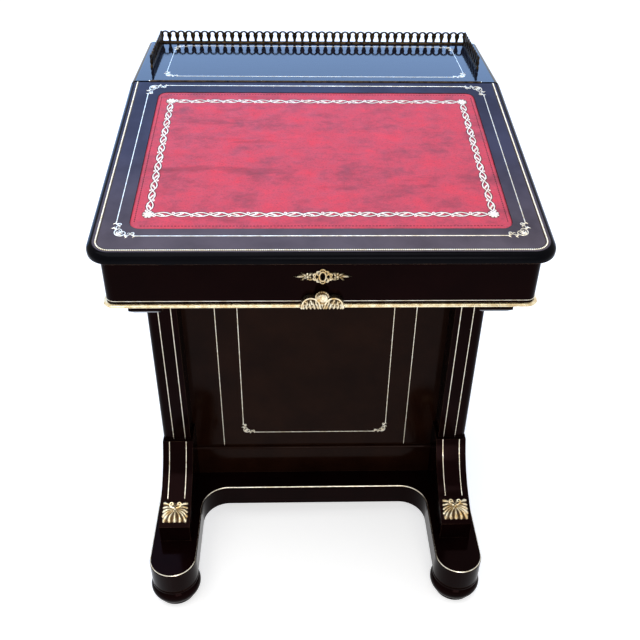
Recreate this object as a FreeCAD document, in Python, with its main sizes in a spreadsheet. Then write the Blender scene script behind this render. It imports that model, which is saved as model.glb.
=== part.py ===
import FreeCAD, Part
import math
import os
import re

import Sketcher

# Davenport desk, modelled in millimetres.
# +X is to the user's right, +Y is away from the user and +Z is up.
# The origin is on the floor, under the middle of the desk's width and depth.

SIZES = {
    # Desk as a whole
    "lid_width": 560, "desk_depth": 598, "top_height": 783, "flat_depth": 199, "lid_slope": 9,
    # Lid and flat top
    "top_thick": 16, "lid_corner": 30, "lid_round": 9, "lid_under": 4,
    "leather_side": 47, "leather_back": 32, "leather_front": 52, "leather_corner": 14,
    "leather_thick": 1.5, "leather_sink": 0.3, "leather_gap": 0.3,
    "bead_inset": 12, "bead_wide": 2.4, "bead_high": 1.2,
    # Gallery
    "gallery_inset": 12, "gallery_side": 22, "gallery_high": 20, "gallery_thick": 1.6,
    "gallery_run": 126, "arch_pitch": 13, "arch_round": 8.6, "arch_crown": 2.2, "arch_head": 3.1,
    "bar_foot": 4.4, "bar_waist": 8, "bar_lap": 0.1, "sill_high": 3, "post_wide": 4,
    # Hinge
    "hinge_length": 500, "seam_gap": 4.8, "leaf_thick": 1.6, "leaf_high": 12, "knuckle_radius": 2,
    "knuckle_count": 3, "knuckle_gap": 0.4, "pin_radius": 1, "pin_clearance": 0.03,
    # Desk box
    "box_height": 635, "box_inset": 13, "box_front_inset": 20, "box_back_inset": 14, "box_board": 14,
    "box_floor": 12, "box_corner": 12, "lid_rest_gap": 0.3,
    "band_high": 4.4, "band_out": 4.5, "band_bevel": 1.6,
    "escutcheon_wide": 71, "escutcheon_high": 22, "escutcheon_thick": 2, "escutcheon_height": 679,
    "keyhole_radius": 2.2, "keyhole_slot": 6,
    "mask_height": 646, "mask_wide": 54, "mask_thick": 4, "head_radius": 10,
    # Lock
    "lock_wide": 44, "lock_high": 36, "lock_thick": 14, "lock_wall": 1.5, "lock_drop": 0.6,
    "bolt_wide": 12, "bolt_thick": 4, "bolt_down": 6.5, "bolt_clearance": 0.3, "eye_room": 1.2,
    "keeper_gap": 4, "keeper_bar": 2, "keeper_plate": 1.6, "keeper_wide": 36, "keeper_deep": 8,
    # Platform and feet
    "platform_height": 85, "platform_thick": 42, "platform_wide": 560, "arm_wide": 78, "arm_setback": 32,
    "arm_length": 192, "platform_back": 18, "inner_corner": 45, "back_corner": 20, "arm_flat": 1,
    "platform_bevel": 2.5, "foot_radius": 42, "foot_base": 36, "foot_ring": 37,
    # Pedestal
    "pedestal_wide": 500, "pedestal_deep": 300, "pedestal_back_inset": 29, "pedestal_board": 18,
    "plinth_high": 64, "plinth_out": 6, "plinth_round": 5, "dust_thick": 10, "side_thick": 12,
    "dummy_thick": 6,
    # Drawers
    "drawer_step": 10, "drawer_front": 18, "drawer_board": 9, "drawer_floor": 6, "drawer_gap": 1,
    "drawer_rest": 0.3, "tray_drop": 12, "tray_short": 6, "groove_rise": 4,
    "knob_radius": 12, "knob_long": 22, "knob_neck": 5, "dummy_gap": 2,
    # Supports
    "support_wide": 48, "support_out": 16, "support_deep": 40, "support_round": 10, "collar_height": 205,
    "foot_inner": 4, "foot_ledge": 6, "sweep_end": 80, "sweep_height": 140, "sweep_radius": 134,
    "toe_reach": 124.5, "toe_high": 35, "toe_lip": 6, "mount_seat": 124,
    "mount_wide": 46, "mount_long": 36, "mount_thick": 4,
    "bearer_high": 16, "bearer_inner": 198, "bearer_wide": 43, "bearer_setback": 4, "bearer_head": 46,
    "bearer_flare": 30, "bearer_bevel": 6,
    # Till inside the box
    "till_front": 20, "till_height": 56, "till_board": 8, "till_drawer_front": 10, "till_drawer_board": 6,
    "till_knob_radius": 7, "till_knob_long": 14, "till_knob_neck": 3,
}

# Places that several pieces share, as formulas on the sizes
HINGE_Y = "(desk_depth / 2 - flat_depth)"
LID_LONG = "((desk_depth - flat_depth + lid_round * (sin(lid_slope) + cos(lid_slope) - 1)) / cos(lid_slope))"
BOX_HALF = "(lid_width / 2 - box_inset)"
BOX_FRONT_Y = "(-desk_depth / 2 + box_front_inset)"
BOX_BACK_Y = "(desk_depth / 2 - box_back_inset)"
WELL_HALF = "(lid_width / 2 - box_inset - box_board)"
WELL_FLOOR = "(box_height + box_floor)"
TOP_UNDER = "(top_height - top_thick)"
LID_UNDER_AT_HINGE = "(top_height - top_thick / cos(lid_slope) - lid_rest_gap)"
ARM_FRONT_Y = "(-desk_depth / 2 + arm_setback)"
ARM_INNER = "(platform_wide / 2 - arm_wide)"
PEDESTAL_BACK_Y = "(desk_depth / 2 - pedestal_back_inset)"
PEDESTAL_FRONT_Y = "(desk_depth / 2 - pedestal_back_inset - pedestal_deep)"
PEDESTAL_FOOT = "(platform_height + plinth_high)"
PEDESTAL_HALF = "(pedestal_wide / 2)"
SIDE_INNER = "(-pedestal_wide / 2 + dummy_thick + side_thick)"
DRAWER_NEAR_Y = "(desk_depth / 2 - pedestal_back_inset - pedestal_deep + pedestal_board)"
DRAWER_FAR_Y = "(desk_depth / 2 - pedestal_back_inset - pedestal_board)"
SUPPORT_OUTER = "(pedestal_wide / 2 + support_out)"
SUPPORT_INNER = "(pedestal_wide / 2 + support_out - support_wide)"
SUPPORT_FRONT_Y = "(desk_depth / 2 - pedestal_back_inset - pedestal_deep - support_deep)"
TILL_FRONT_Y = "(desk_depth / 2 - flat_depth + till_front)"
TILL_BACK_Y = "(desk_depth / 2 - box_back_inset - box_board)"
DRAWER_COUNT = 4

doc = FreeCAD.newDocument("davenport_desk")
sheet = doc.addObject("Spreadsheet::Sheet", "sizes")
nodes = []


def fill_sheet():
    """Writes each size to a cell of its own, under its own name."""
    for row, (name, size) in enumerate(SIZES.items(), start=1):
        sheet.set(f"A{row}", name)
        sheet.set(f"B{row}", str(size))
        sheet.setAlias(f"B{row}", name)
    doc.recompute()


def formula(text):
    """Points every size's name in a formula at its cell in the sheet."""
    def cell(word):
        name = word.group()
        return f"sizes.{name}" if name in SIZES else name

    return re.sub(r"[a-z]\w*", cell, text)


def value(text):
    """Works a formula out to a number, for places where a first position is needed."""
    return float(sheet.evalExpression(formula(text)))


def bind(thing, prop, text):
    """Ties a property to a formula on the sizes."""
    thing.setExpression(prop, formula(text))


def place(thing, x="0", y="0", z="0"):
    """Ties an object's place to formulas."""
    for axis, text in zip("xyz", (x, y, z)):
        bind(thing, f"Placement.Base.{axis}", text)


def tilt(thing, axis, text):
    """Turns an object about an axis through its own origin by an angle from the sizes."""
    base = thing.Placement.Base
    thing.Placement = FreeCAD.Placement(base, FreeCAD.Rotation(FreeCAD.Vector(*axis), 1))
    bind(thing, "Placement.Rotation.Angle", text)


def node(label, thing):
    """Counts an object as a finished sub-part of the desk."""
    thing.Label = label
    nodes.append(thing)
    return thing


def board(name, x, y, z):
    """Makes a rectangular board between two formulas along each axis."""
    thing = doc.addObject("Part::Box", name)
    for prop, (low, high) in zip(("Length", "Width", "Height"), (x, y, z)):
        bind(thing, prop, f"({high}) - ({low})")
    place(thing, x[0], y[0], z[0])
    return thing


def group(name, pieces):
    """Gathers separate solids that make up one sub-part."""
    thing = doc.addObject("Part::Compound", name)
    thing.Links = pieces
    return thing


def join(name, pieces):
    """Fuses pieces into one solid."""
    thing = doc.addObject("Part::MultiFuse", name)
    thing.Shapes = pieces
    thing.Refine = True
    return thing


def cut(name, base, tool):
    """Cuts a tool out of a base."""
    thing = doc.addObject("Part::Cut", name)
    thing.Base = base
    thing.Tool = tool
    return thing


def mirror(name, source):
    """Mirrors a right-hand piece to the left side of the desk."""
    thing = doc.addObject("Part::Mirroring", name)
    thing.Source = source
    thing.Normal = FreeCAD.Vector(1, 0, 0)
    return thing


def rod(name, radius, length, axis):
    """Makes a round rod along X or Y from its own origin."""
    thing = doc.addObject("Part::Cylinder", name)
    bind(thing, "Radius", radius)
    bind(thing, "Height", length)
    turn = {"x": FreeCAD.Vector(0, 1, 0), "y": FreeCAD.Vector(1, 0, 0)}
    thing.Placement = FreeCAD.Placement(FreeCAD.Vector(0, 0, 0), FreeCAD.Rotation(turn[axis], 90))
    return thing


def new_body(name):
    """Starts a body for a piece that is made from profiles."""
    return doc.addObject("PartDesign::Body", name)


def arc_between(start, end, radius, side):
    """Finds the arc of a radius from one point to another, bulging to the right (1) or the left (-1)."""
    middle = (start + end) * 0.5
    half = (end - start) * 0.5
    reach = math.sqrt(max(radius ** 2 - half.Length ** 2, 0))
    normal = FreeCAD.Vector(-half.y, half.x, 0).normalize()
    centre = middle + normal * reach * side
    angles = [math.atan2(point.y - centre.y, point.x - centre.x) for point in (start, end)]
    if side < 0:
        angles.reverse()
    circle = Part.Circle(centre, FreeCAD.Vector(0, 0, 1), radius)
    if angles[1] < angles[0]:
        angles[1] += 2 * math.pi
    return Part.ArcOfCircle(circle, angles[0], angles[1])


def profile(body, plane, name, corners):
    """Draws a closed profile whose corners are tied to formulas.

    A corner is (across, up), or (across, up, radius, side) where an arc runs from it to the next corner.
    """
    sketch = body.newObject("Sketcher::SketchObject", name)
    support = next(feature for feature in body.Origin.OriginFeatures if feature.Role == plane)
    sketch.AttachmentSupport = (support, [""])
    sketch.MapMode = "FlatFace"
    points = [FreeCAD.Vector(value(corner[0]), value(corner[1]), 0) for corner in corners]
    ends = []
    for index, corner in enumerate(corners):
        start, end = points[index], points[(index + 1) % len(points)]
        if len(corner) == 2:
            sketch.addGeometry(Part.LineSegment(start, end))
            ends.append((1, 2))
        else:
            sketch.addGeometry(arc_between(start, end, value(corner[2]), corner[3]))
            ends.append((1, 2) if corner[3] > 0 else (2, 1))
    for index in range(len(corners)):
        after = (index + 1) % len(corners)
        sketch.addConstraint(Sketcher.Constraint("Coincident", index, ends[index][1], after, ends[after][0]))
    for index, corner in enumerate(corners):
        first = ends[index][0]
        for kind, axis, text in (("DistanceX", -2, corner[0]), ("DistanceY", -1, corner[1])):
            if text == "0":
                sketch.addConstraint(Sketcher.Constraint("PointOnObject", index, first, axis))
                continue
            added = sketch.addConstraint(Sketcher.Constraint(kind, -1, 1, index, first, value(text)))
            tie(sketch, added, f"{kind}_{index}", text)
        if len(corner) > 2:
            added = sketch.addConstraint(Sketcher.Constraint("Radius", index, value(corner[2])))
            tie(sketch, added, f"Radius_{index}", corner[2])
    return sketch


def tie(sketch, number, name, text):
    """Names one of a sketch's dimensions and ties it to a formula."""
    sketch.renameConstraint(number, name)
    bind(sketch, f"Constraints.{name}", text)


def pad(body, sketch, length, midplane=False, reverse=False):
    """Pads a profile by a length from the sizes."""
    feature = body.newObject("PartDesign::Pad", sketch.Name + "_pad")
    feature.Profile = sketch
    feature.Midplane = midplane
    feature.Reversed = reverse
    bind(feature, "Length", length)
    doc.recompute()
    return feature


def pocket(body, sketch, length, reverse=False):
    """Cuts a profile into the body and checks that it took something away."""
    before = body.Shape.Volume
    feature = body.newObject("PartDesign::Pocket", sketch.Name + "_pocket")
    feature.Profile = sketch
    feature.Reversed = reverse
    bind(feature, "Length", length)
    doc.recompute()
    if body.Shape.Volume >= before:
        raise RuntimeError(f"{sketch.Name} cuts nothing")
    return feature


def spin(body, sketch):
    """Turns a profile round the sketch's upright axis, as on a lathe."""
    feature = body.newObject("PartDesign::Revolution", sketch.Name + "_turned")
    feature.Profile = sketch
    feature.ReferenceAxis = (sketch, ["V_Axis"])
    feature.Angle = 360
    doc.recompute()
    return feature


def picked(body, chosen):
    """Lists the edges of the body that a test picks by their ends."""
    names = []
    for number, edge in enumerate(body.Tip.Shape.Edges, start=1):
        ends = [vertex.Point for vertex in edge.Vertexes]
        if ends and chosen(ends[0], ends[-1]):
            names.append(f"Edge{number}")
    if not names:
        raise RuntimeError(f"{body.Name} has no edge to soften")
    return body.Tip, names


def fillet(body, chosen, radius):
    """Rounds the picked edges of a body."""
    edges = picked(body, chosen)
    feature = body.newObject("PartDesign::Fillet", f"{body.Name}_round")
    feature.Base = edges
    bind(feature, "Radius", radius)
    doc.recompute()


def bevel(body, chosen, size):
    """Bevels the picked edges of a body."""
    edges = picked(body, chosen)
    feature = body.newObject("PartDesign::Chamfer", f"{body.Name}_bevel")
    feature.Base = edges
    bind(feature, "Size", size)
    doc.recompute()


def same(first, second):
    """Tells whether two lengths agree."""
    return abs(first - second) < 0.01


def upright_at(x=None, y=None):
    """Picks upright edges at a place, by the size of their across and deep places."""
    def chosen(start, end):
        upright = same(start.x, end.x) and same(start.y, end.y) and not same(start.z, end.z)
        return upright and (x is None or same(abs(start.x), x)) and (y is None or same(start.y, y))
    return chosen


def level_at(height, but=None):
    """Picks edges that lie at a height, leaving out those along one depth."""
    def chosen(start, end):
        level = same(start.z, height) and same(end.z, height)
        return level and not (but is not None and same(start.y, but) and same(end.y, but))
    return chosen


# Platform and feet

def make_platform():
    """U-shaped platform: a slab under the pedestal with an arm forward on each side."""
    body = new_body("platform_body")
    half = "platform_wide / 2"
    back = f"{PEDESTAL_BACK_Y} + platform_back"
    front = ARM_FRONT_Y
    bay = f"{ARM_FRONT_Y} + arm_length"
    outline = [(f"-{half}", back), (f"-{half}", front), (f"-{ARM_INNER}", front), (f"-{ARM_INNER}", bay),
               (ARM_INNER, bay), (ARM_INNER, front), (half, front), (half, back)]
    pad(body, profile(body, "XY_Plane", "platform_plan", outline), "platform_thick", reverse=True)
    fillet(body, upright_at(y=value(front)), "(arm_wide - arm_flat) / 2")
    fillet(body, upright_at(y=value(bay)), "inner_corner")
    fillet(body, upright_at(y=value(back)), "back_corner")
    bevel(body, level_at(0), "platform_bevel")
    place(body, z="platform_height")
    node("platform", body)


def make_feet():
    """Turned bun feet with a ring, one under each corner of the platform."""
    under = "(platform_height - platform_thick)"
    belly_low = f"({under} * 0.22)"
    belly_high = f"({under} * 0.6)"
    side = "(platform_wide / 2 - arm_wide / 2)"
    rear = f"({PEDESTAL_BACK_Y} + platform_back - arm_wide / 2)"
    front = f"({ARM_FRONT_Y} + arm_wide / 2)"
    feet = []
    for spot, (x, y) in {"front_left": (f"-{side}", front), "front_right": (side, front),
                         "rear_left": (f"-{side}", rear), "rear_right": (side, rear)}.items():
        body = new_body(f"bun_foot_{spot}")
        outline = [("0", "0"), ("foot_base", "0"), ("foot_radius", belly_low), ("foot_radius", belly_high),
                   ("foot_ring", belly_high), ("foot_ring", under), ("0", under)]
        spin(body, profile(body, "XZ_Plane", f"bun_foot_{spot}_profile", outline))
        place(body, x, y)
        feet.append(body)
    node("bun_feet", group("bun_feet_group", feet))


# Pedestal

def make_plinth():
    """Plinth block under the pedestal, with a rounded upper edge."""
    body = new_body("plinth_body")
    half = f"({PEDESTAL_HALF} + plinth_out)"
    front = f"({PEDESTAL_FRONT_Y} - plinth_out)"
    back = f"({PEDESTAL_BACK_Y} + plinth_out)"
    outline = [(f"-{half}", back), (f"-{half}", front), (half, front), (half, back)]
    pad(body, profile(body, "XY_Plane", "plinth_plan", outline), "plinth_high")
    fillet(body, level_at(value("plinth_high")), "plinth_round")
    place(body, z="platform_height")
    node("plinth", body)


def make_pedestal():
    """Front, back and left side of the pedestal, and the boards between its drawers."""
    across = (f"-{PEDESTAL_HALF}", PEDESTAL_HALF)
    tall = (PEDESTAL_FOOT, "box_height")
    node("pedestal_front", board("pedestal_front_board", across, (PEDESTAL_FRONT_Y, DRAWER_NEAR_Y), tall))
    node("pedestal_back", board("pedestal_back_board", across, (DRAWER_FAR_Y, PEDESTAL_BACK_Y), tall))
    side = (f"-{PEDESTAL_HALF} + dummy_thick", SIDE_INNER)
    node("pedestal_left_side", board("pedestal_side_board", side, (DRAWER_NEAR_Y, DRAWER_FAR_Y), tall))
    for level in range(DRAWER_COUNT + 1):
        low = drawer_floor_height(level) + " - dust_thick"
        high = drawer_floor_height(level)
        label = f"dust_board_{level + 1}"
        across = (SIDE_INNER, PEDESTAL_HALF)
        node(label, board(f"{label}_board", across, (DRAWER_NEAR_Y, DRAWER_FAR_Y), (low, high)))


def drawer_tall(level):
    """Clear height of a drawer's opening: each one is a step lower than the one under it."""
    mean = f"((box_height - {PEDESTAL_FOOT} - {DRAWER_COUNT + 1} * dust_thick) / {DRAWER_COUNT})"
    return f"({mean} + ({(DRAWER_COUNT - 1) / 2 - level}) * drawer_step)"


def drawer_floor_height(level):
    """Height of the board that a drawer runs on, counted from the bottom."""
    below = "".join(f" + {drawer_tall(lower)}" for lower in range(level))
    return f"({PEDESTAL_FOOT} + {level + 1} * dust_thick{below})"


def knob(name, radius, length, neck):
    """Turned knob that stands up along its own axis: a neck and a thick round head."""
    body = new_body(f"{name}_body")
    outline = [("0", "0"), (neck, "0"), (neck, f"{length} * 0.55"), (radius, f"{length} * 0.55"),
               (radius, length), ("0", length)]
    spin(body, profile(body, "XZ_Plane", f"{name}_profile", outline))
    return body


def lay_knob(body, axis, x, y, z):
    """Points a knob outwards from the face that it stands on."""
    turns = {"right": ((0, 1, 0), 90), "left": ((0, 1, 0), -90), "front": ((1, 0, 0), 90)}
    direction, angle = turns[axis]
    turn = FreeCAD.Rotation(FreeCAD.Vector(*direction), angle)
    body.Placement = FreeCAD.Placement(FreeCAD.Vector(0, 0, 0), turn)
    place(body, x, y, z)
    return body


def drawer_knob(name, axis, x, z):
    """Knob at the middle of a drawer front."""
    body = knob(name, "knob_radius", "knob_long", "knob_neck")
    return lay_knob(body, axis, x, f"({DRAWER_NEAR_Y} + {DRAWER_FAR_Y}) / 2", z)


def make_drawers():
    """Four real drawers that run out to the right, each a front with its knob and a tray of boards."""
    for level in range(DRAWER_COUNT):
        label = f"drawer_{level + 1}"
        floor = drawer_floor_height(level)
        low = f"{floor} + drawer_rest"
        front_x = f"({PEDESTAL_HALF} - drawer_front)"
        near = f"({DRAWER_NEAR_Y} + drawer_gap)"
        far = f"({DRAWER_FAR_Y} - drawer_gap)"
        high = f"{floor} + {drawer_tall(level)} - drawer_gap"
        face = board(f"{label}_face", (front_x, PEDESTAL_HALF), (near, far), (low, high))
        middle = f"{floor} + {drawer_tall(level)} / 2"
        pull = drawer_knob(f"{label}_knob", "right", PEDESTAL_HALF, middle)
        node(f"{label}_front", group(f"{label}_front_group", [face, pull]))
        end = f"({SIDE_INNER} + tray_short)"
        rim = f"{floor} + {drawer_tall(level)} - tray_drop"
        base = f"({low} + groove_rise)"
        inner_near = f"({near} + drawer_board)"
        inner_far = f"({far} - drawer_board)"
        tray = [
            board(f"{label}_near_side", (end, front_x), (near, inner_near), (low, rim)),
            board(f"{label}_far_side", (end, front_x), (inner_far, far), (low, rim)),
            board(f"{label}_floor", (end, front_x), (inner_near, inner_far),
                  (base, f"{base} + drawer_floor")),
            board(f"{label}_end", (end, f"{end} + drawer_board"), (inner_near, inner_far),
                  (f"{base} + drawer_floor", rim)),
        ]
        node(f"{label}_tray", group(f"{label}_tray_boards", tray))


def make_dummy_fronts():
    """Dummy drawer fronts and knobs on the left side, at the heights of the real ones."""
    fronts = []
    for level in range(DRAWER_COUNT):
        floor = drawer_floor_height(level)
        low = f"{floor} + dummy_gap - dust_thick / 2"
        high = f"{floor} + {drawer_tall(level)} + dust_thick / 2 - dummy_gap"
        depth = (f"{DRAWER_NEAR_Y} + drawer_gap", f"{DRAWER_FAR_Y} - drawer_gap")
        face = (f"-{PEDESTAL_HALF}", f"-{PEDESTAL_HALF} + dummy_thick")
        fronts.append(board(f"dummy_front_{level + 1}", face, depth, (low, high)))
        middle = f"{floor} + {drawer_tall(level)} / 2"
        fronts.append(drawer_knob(f"dummy_knob_{level + 1}", "left", f"-{PEDESTAL_HALF}", middle))
    node("dummy_drawer_fronts", group("dummy_front_group", fronts))


# Front supports

def make_supports():
    """Pilaster, scroll foot, gilt mount and bearer of each front support, made on the right and mirrored."""
    for label, piece in (("pilaster", pilaster()), ("scroll_foot", scroll_foot()),
                         ("palmette_mount", palmette_mount()), ("bearer", bearer())):
        node(f"{label}_right", piece)
        node(f"{label}_left", mirror(f"{label}_left_mirror", piece))


def pilaster():
    """Straight upper part of the support, rounded on its outer front corner."""
    body = new_body("pilaster_body")
    outline = [(SUPPORT_INNER, SUPPORT_FRONT_Y), (SUPPORT_OUTER, SUPPORT_FRONT_Y),
               (SUPPORT_OUTER, PEDESTAL_FRONT_Y), (SUPPORT_INNER, PEDESTAL_FRONT_Y)]
    pad(body, profile(body, "XY_Plane", "pilaster_plan", outline), "box_height - bearer_high - collar_height")
    fillet(body, upright_at(x=value(SUPPORT_OUTER), y=value(SUPPORT_FRONT_Y)), "support_round")
    place(body, z="collar_height")
    return body


def scroll_foot():
    """Lower part of the support: a hollow sweep forward to the mount's seat and an upright toe."""
    body = new_body("scroll_foot_body")
    behind = f"({PEDESTAL_FRONT_Y} - plinth_out)"
    outline = [(behind, "platform_height"), (behind, PEDESTAL_FOOT), (PEDESTAL_FRONT_Y, PEDESTAL_FOOT),
               (PEDESTAL_FRONT_Y, "collar_height"),
               (f"{SUPPORT_FRONT_Y} - foot_ledge", "collar_height", "sweep_radius", -1),
               (f"{SUPPORT_FRONT_Y} - sweep_end", "sweep_height"),
               (f"{SUPPORT_FRONT_Y} - toe_reach + toe_lip", "mount_seat"),
               (f"{SUPPORT_FRONT_Y} - toe_reach", "platform_height + toe_high"),
               (f"{SUPPORT_FRONT_Y} - toe_reach", "platform_height")]
    pad(body, profile(body, "YZ_Plane", "scroll_foot_side", outline), "support_wide + foot_inner")
    place(body, x=f"{SUPPORT_INNER} - foot_inner")
    return body


def palmette_mount():
    """Square gilt mount on the sloped seat above the toe, with softened edges."""
    body = new_body("palmette_mount_body")
    half = "mount_wide / 2"
    outline = [(f"-{half}", "0"), (half, "0"), (half, "mount_long"), (f"-{half}", "mount_long")]
    pad(body, profile(body, "XY_Plane", "palmette_mount_plan", outline), "mount_thick")
    fillet(body, level_at(value("mount_thick")), "mount_thick * 0.6")
    rise = "(sweep_height - mount_seat)"
    run = "(sweep_end - toe_reach + toe_lip)"
    tilt(body, (1, 0, 0), f"atan(-{rise} / {run})")
    place(body, f"{SUPPORT_INNER} + (support_wide - foot_inner) / 2",
          f"{SUPPORT_FRONT_Y} - toe_reach + toe_lip", "mount_seat")
    return body


def bearer():
    """Bar under the box that runs forward from the pedestal, widening to a cap over the pilaster."""
    body = new_body("bearer_body")
    outer = "(bearer_inner + bearer_wide)"
    cap = f"({SUPPORT_OUTER} + plinth_out)"
    front = f"({BOX_FRONT_Y} + bearer_setback)"
    head = f"({PEDESTAL_FRONT_Y} - bearer_head)"
    outline = [("bearer_inner", PEDESTAL_FRONT_Y), ("bearer_inner", front), (outer, front),
               (outer, f"{head} - bearer_flare", "bearer_flare * 1.1", -1), (cap, head),
               (cap, PEDESTAL_FRONT_Y)]
    pad(body, profile(body, "XY_Plane", "bearer_plan", outline), "bearer_high")
    bevel(body, level_at(0, but=value(PEDESTAL_FRONT_Y)), "bearer_bevel")
    place(body, z="box_height - bearer_high")
    return body


# Desk box

def make_box():
    """Bottom, front, sides and back of the desk box, cut to the slope of the lid."""
    inside = (f"-{WELL_HALF}", WELL_HALF)
    inner_front = f"({BOX_FRONT_Y} + box_board)"
    bottom = board("box_bottom_board", inside, (inner_front, TILL_BACK_Y), ("box_height", WELL_FLOOR))
    node("box_bottom", bottom)
    back = board("box_back_board", inside, (TILL_BACK_Y, BOX_BACK_Y), ("box_height", TOP_UNDER))
    node("box_back", back)
    for label, left in (("box_left", f"-{BOX_HALF}"), ("box_right", WELL_HALF)):
        body = new_body(f"{label}_body")
        outline = [(inner_front, "box_height"), (BOX_BACK_Y, "box_height"), (BOX_BACK_Y, TOP_UNDER),
                   (f"{HINGE_Y} + seam_gap + top_thick * tan(lid_slope)", TOP_UNDER),
                   (HINGE_Y, LID_UNDER_AT_HINGE), (inner_front, lid_under_height(inner_front))]
        pad(body, profile(body, "YZ_Plane", f"{label}_side", outline), "box_board")
        place(body, x=left)
        node(label, body)
    make_box_front()


def lid_under_height(y):
    """Height of the lid's rest on the box at a depth in front of the hinge."""
    return f"({LID_UNDER_AT_HINGE} - ({HINGE_Y} - ({y})) * tan(lid_slope))"


def make_box_front():
    """Front of the box, with rounded corners, a bevelled upper edge and the keyhole."""
    body = new_body("box_front_body")
    inner = f"({BOX_FRONT_Y} + box_board)"
    outline = [(BOX_FRONT_Y, "box_height"), (inner, "box_height"), (inner, lid_under_height(inner)),
               (BOX_FRONT_Y, lid_under_height(BOX_FRONT_Y))]
    pad(body, profile(body, "YZ_Plane", "box_front_side", outline), f"2 * {BOX_HALF}", midplane=True)
    fillet(body, upright_at(x=value(BOX_HALF), y=value(BOX_FRONT_Y)), "box_corner")
    hole = rod("keyhole_round", "keyhole_radius", "2 * box_board", "y")
    place(hole, y=inner, z="escutcheon_height")
    slot = board("keyhole_slot", ("-keyhole_radius / 2", "keyhole_radius / 2"),
                 (f"{BOX_FRONT_Y} - box_board", inner),
                 ("escutcheon_height - keyhole_slot", "escutcheon_height"))
    node("box_front", cut("box_front_cut", body, join("keyhole_tool", [hole, slot])))


def make_band():
    """Half-round brass band round the foot of the box, along its front and sides."""
    body = new_body("box_band_body")
    outer = f"({BOX_HALF} + band_out)"
    front = f"({BOX_FRONT_Y} - band_out)"
    outline = [(f"-{outer}", BOX_BACK_Y), (f"-{outer}", front), (outer, front), (outer, BOX_BACK_Y),
               (BOX_HALF, BOX_BACK_Y), (BOX_HALF, BOX_FRONT_Y), (f"-{BOX_HALF}", BOX_FRONT_Y),
               (f"-{BOX_HALF}", BOX_BACK_Y)]
    pad(body, profile(body, "XY_Plane", "box_band_plan", outline), "band_high")
    fillet(body, upright_at(y=value(front)), "box_corner + band_out")
    fillet(body, upright_at(x=value(BOX_HALF), y=value(BOX_FRONT_Y)), "box_corner")
    rim = value(outer)

    def outside(start, end):
        level = same(start.z, end.z)
        return level and all(same(abs(point.x), rim) or same(point.y, value(front)) for point in (start, end))

    bevel(body, outside, "band_bevel")
    place(body, z="box_height")
    node("box_band", body)


def make_escutcheon():
    """Pointed oval keyhole plate on the front of the box."""
    body = new_body("escutcheon_body")
    half = "escutcheon_wide / 2"
    sweep = "((escutcheon_wide ^ 2 + escutcheon_high ^ 2) / (4 * escutcheon_high))"
    outline = [(f"-{half}", "0", sweep, 1), (half, "0", sweep, 1)]
    pad(body, profile(body, "XZ_Plane", "escutcheon_face", outline), "escutcheon_thick")
    place(body, y=BOX_FRONT_Y, z="escutcheon_height")
    hole = rod("escutcheon_round", "keyhole_radius", "4 * escutcheon_thick", "y")
    place(hole, y=f"{BOX_FRONT_Y} + escutcheon_thick", z="escutcheon_height")
    slot = board("escutcheon_slot", ("-keyhole_radius / 2", "keyhole_radius / 2"),
                 (f"{BOX_FRONT_Y} - 2 * escutcheon_thick", BOX_FRONT_Y),
                 ("escutcheon_height - keyhole_slot", "escutcheon_height"))
    node("escutcheon", cut("escutcheon_cut", body, join("escutcheon_tool", [hole, slot])))


def make_mask():
    """Winged head mount over the band at the middle of the box: a rounded head between two wings."""
    body = new_body("mask_wings_body")
    half = "mask_wide / 2"
    outline = [(f"-{half}", "0", "mask_wide * 0.62", 1), ("0", "-head_radius * 1.4", "mask_wide * 0.62", 1),
               (half, "0", "mask_wide * 0.3", 1), ("0", "head_radius * 0.5", "mask_wide * 0.3", 1)]
    pad(body, profile(body, "XZ_Plane", "mask_wings_face", outline), "mask_thick")
    front = f"({BOX_FRONT_Y} - band_out)"
    place(body, y=front, z="mask_height")
    head = rod("mask_head", "head_radius", "mask_thick + head_radius * 0.6", "y")
    place(head, y=front, z="mask_height + head_radius / 2")
    node("mask_mount", join("mask_whole", [body, head]))


# Flat top and gallery

def make_flat_top():
    """Fixed board at the back, with its front edge cut square to the lid's slope."""
    body = new_body("flat_top_body")
    front = f"({HINGE_Y} + seam_gap / 2 / cos(lid_slope))"
    back = "desk_depth / 2"
    outline = [(front, "0"), (f"{front} + top_thick * tan(lid_slope)", "-top_thick"),
               (back, "-top_thick"), (back, "0")]
    pad(body, profile(body, "YZ_Plane", "flat_top_side", outline), "lid_width", midplane=True)
    deep = value(back)
    wide = value("lid_width / 2")

    fillet(body, upright_at(x=wide, y=deep), "lid_round")
    fillet(body, level_at(0, but=value(front)), "lid_round")
    lower_front = value(f"{front} + top_thick * tan(lid_slope)")
    bevel(body, level_at(-value("top_thick"), but=lower_front), "lid_under")
    place(body, z="top_height")
    node("flat_top", body)


def bow(middle, centre, radius, reach, chords):
    """Corners of a bow from right to left, which reaches an angle down each side from its crown."""
    turns = [f"{1 - 2 * index / chords} * {reach}" for index in range(chords + 1)]
    return [(f"{middle} + {radius} * sin({turn})", f"{centre} + {radius} * cos({turn})") for turn in turns]


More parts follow.
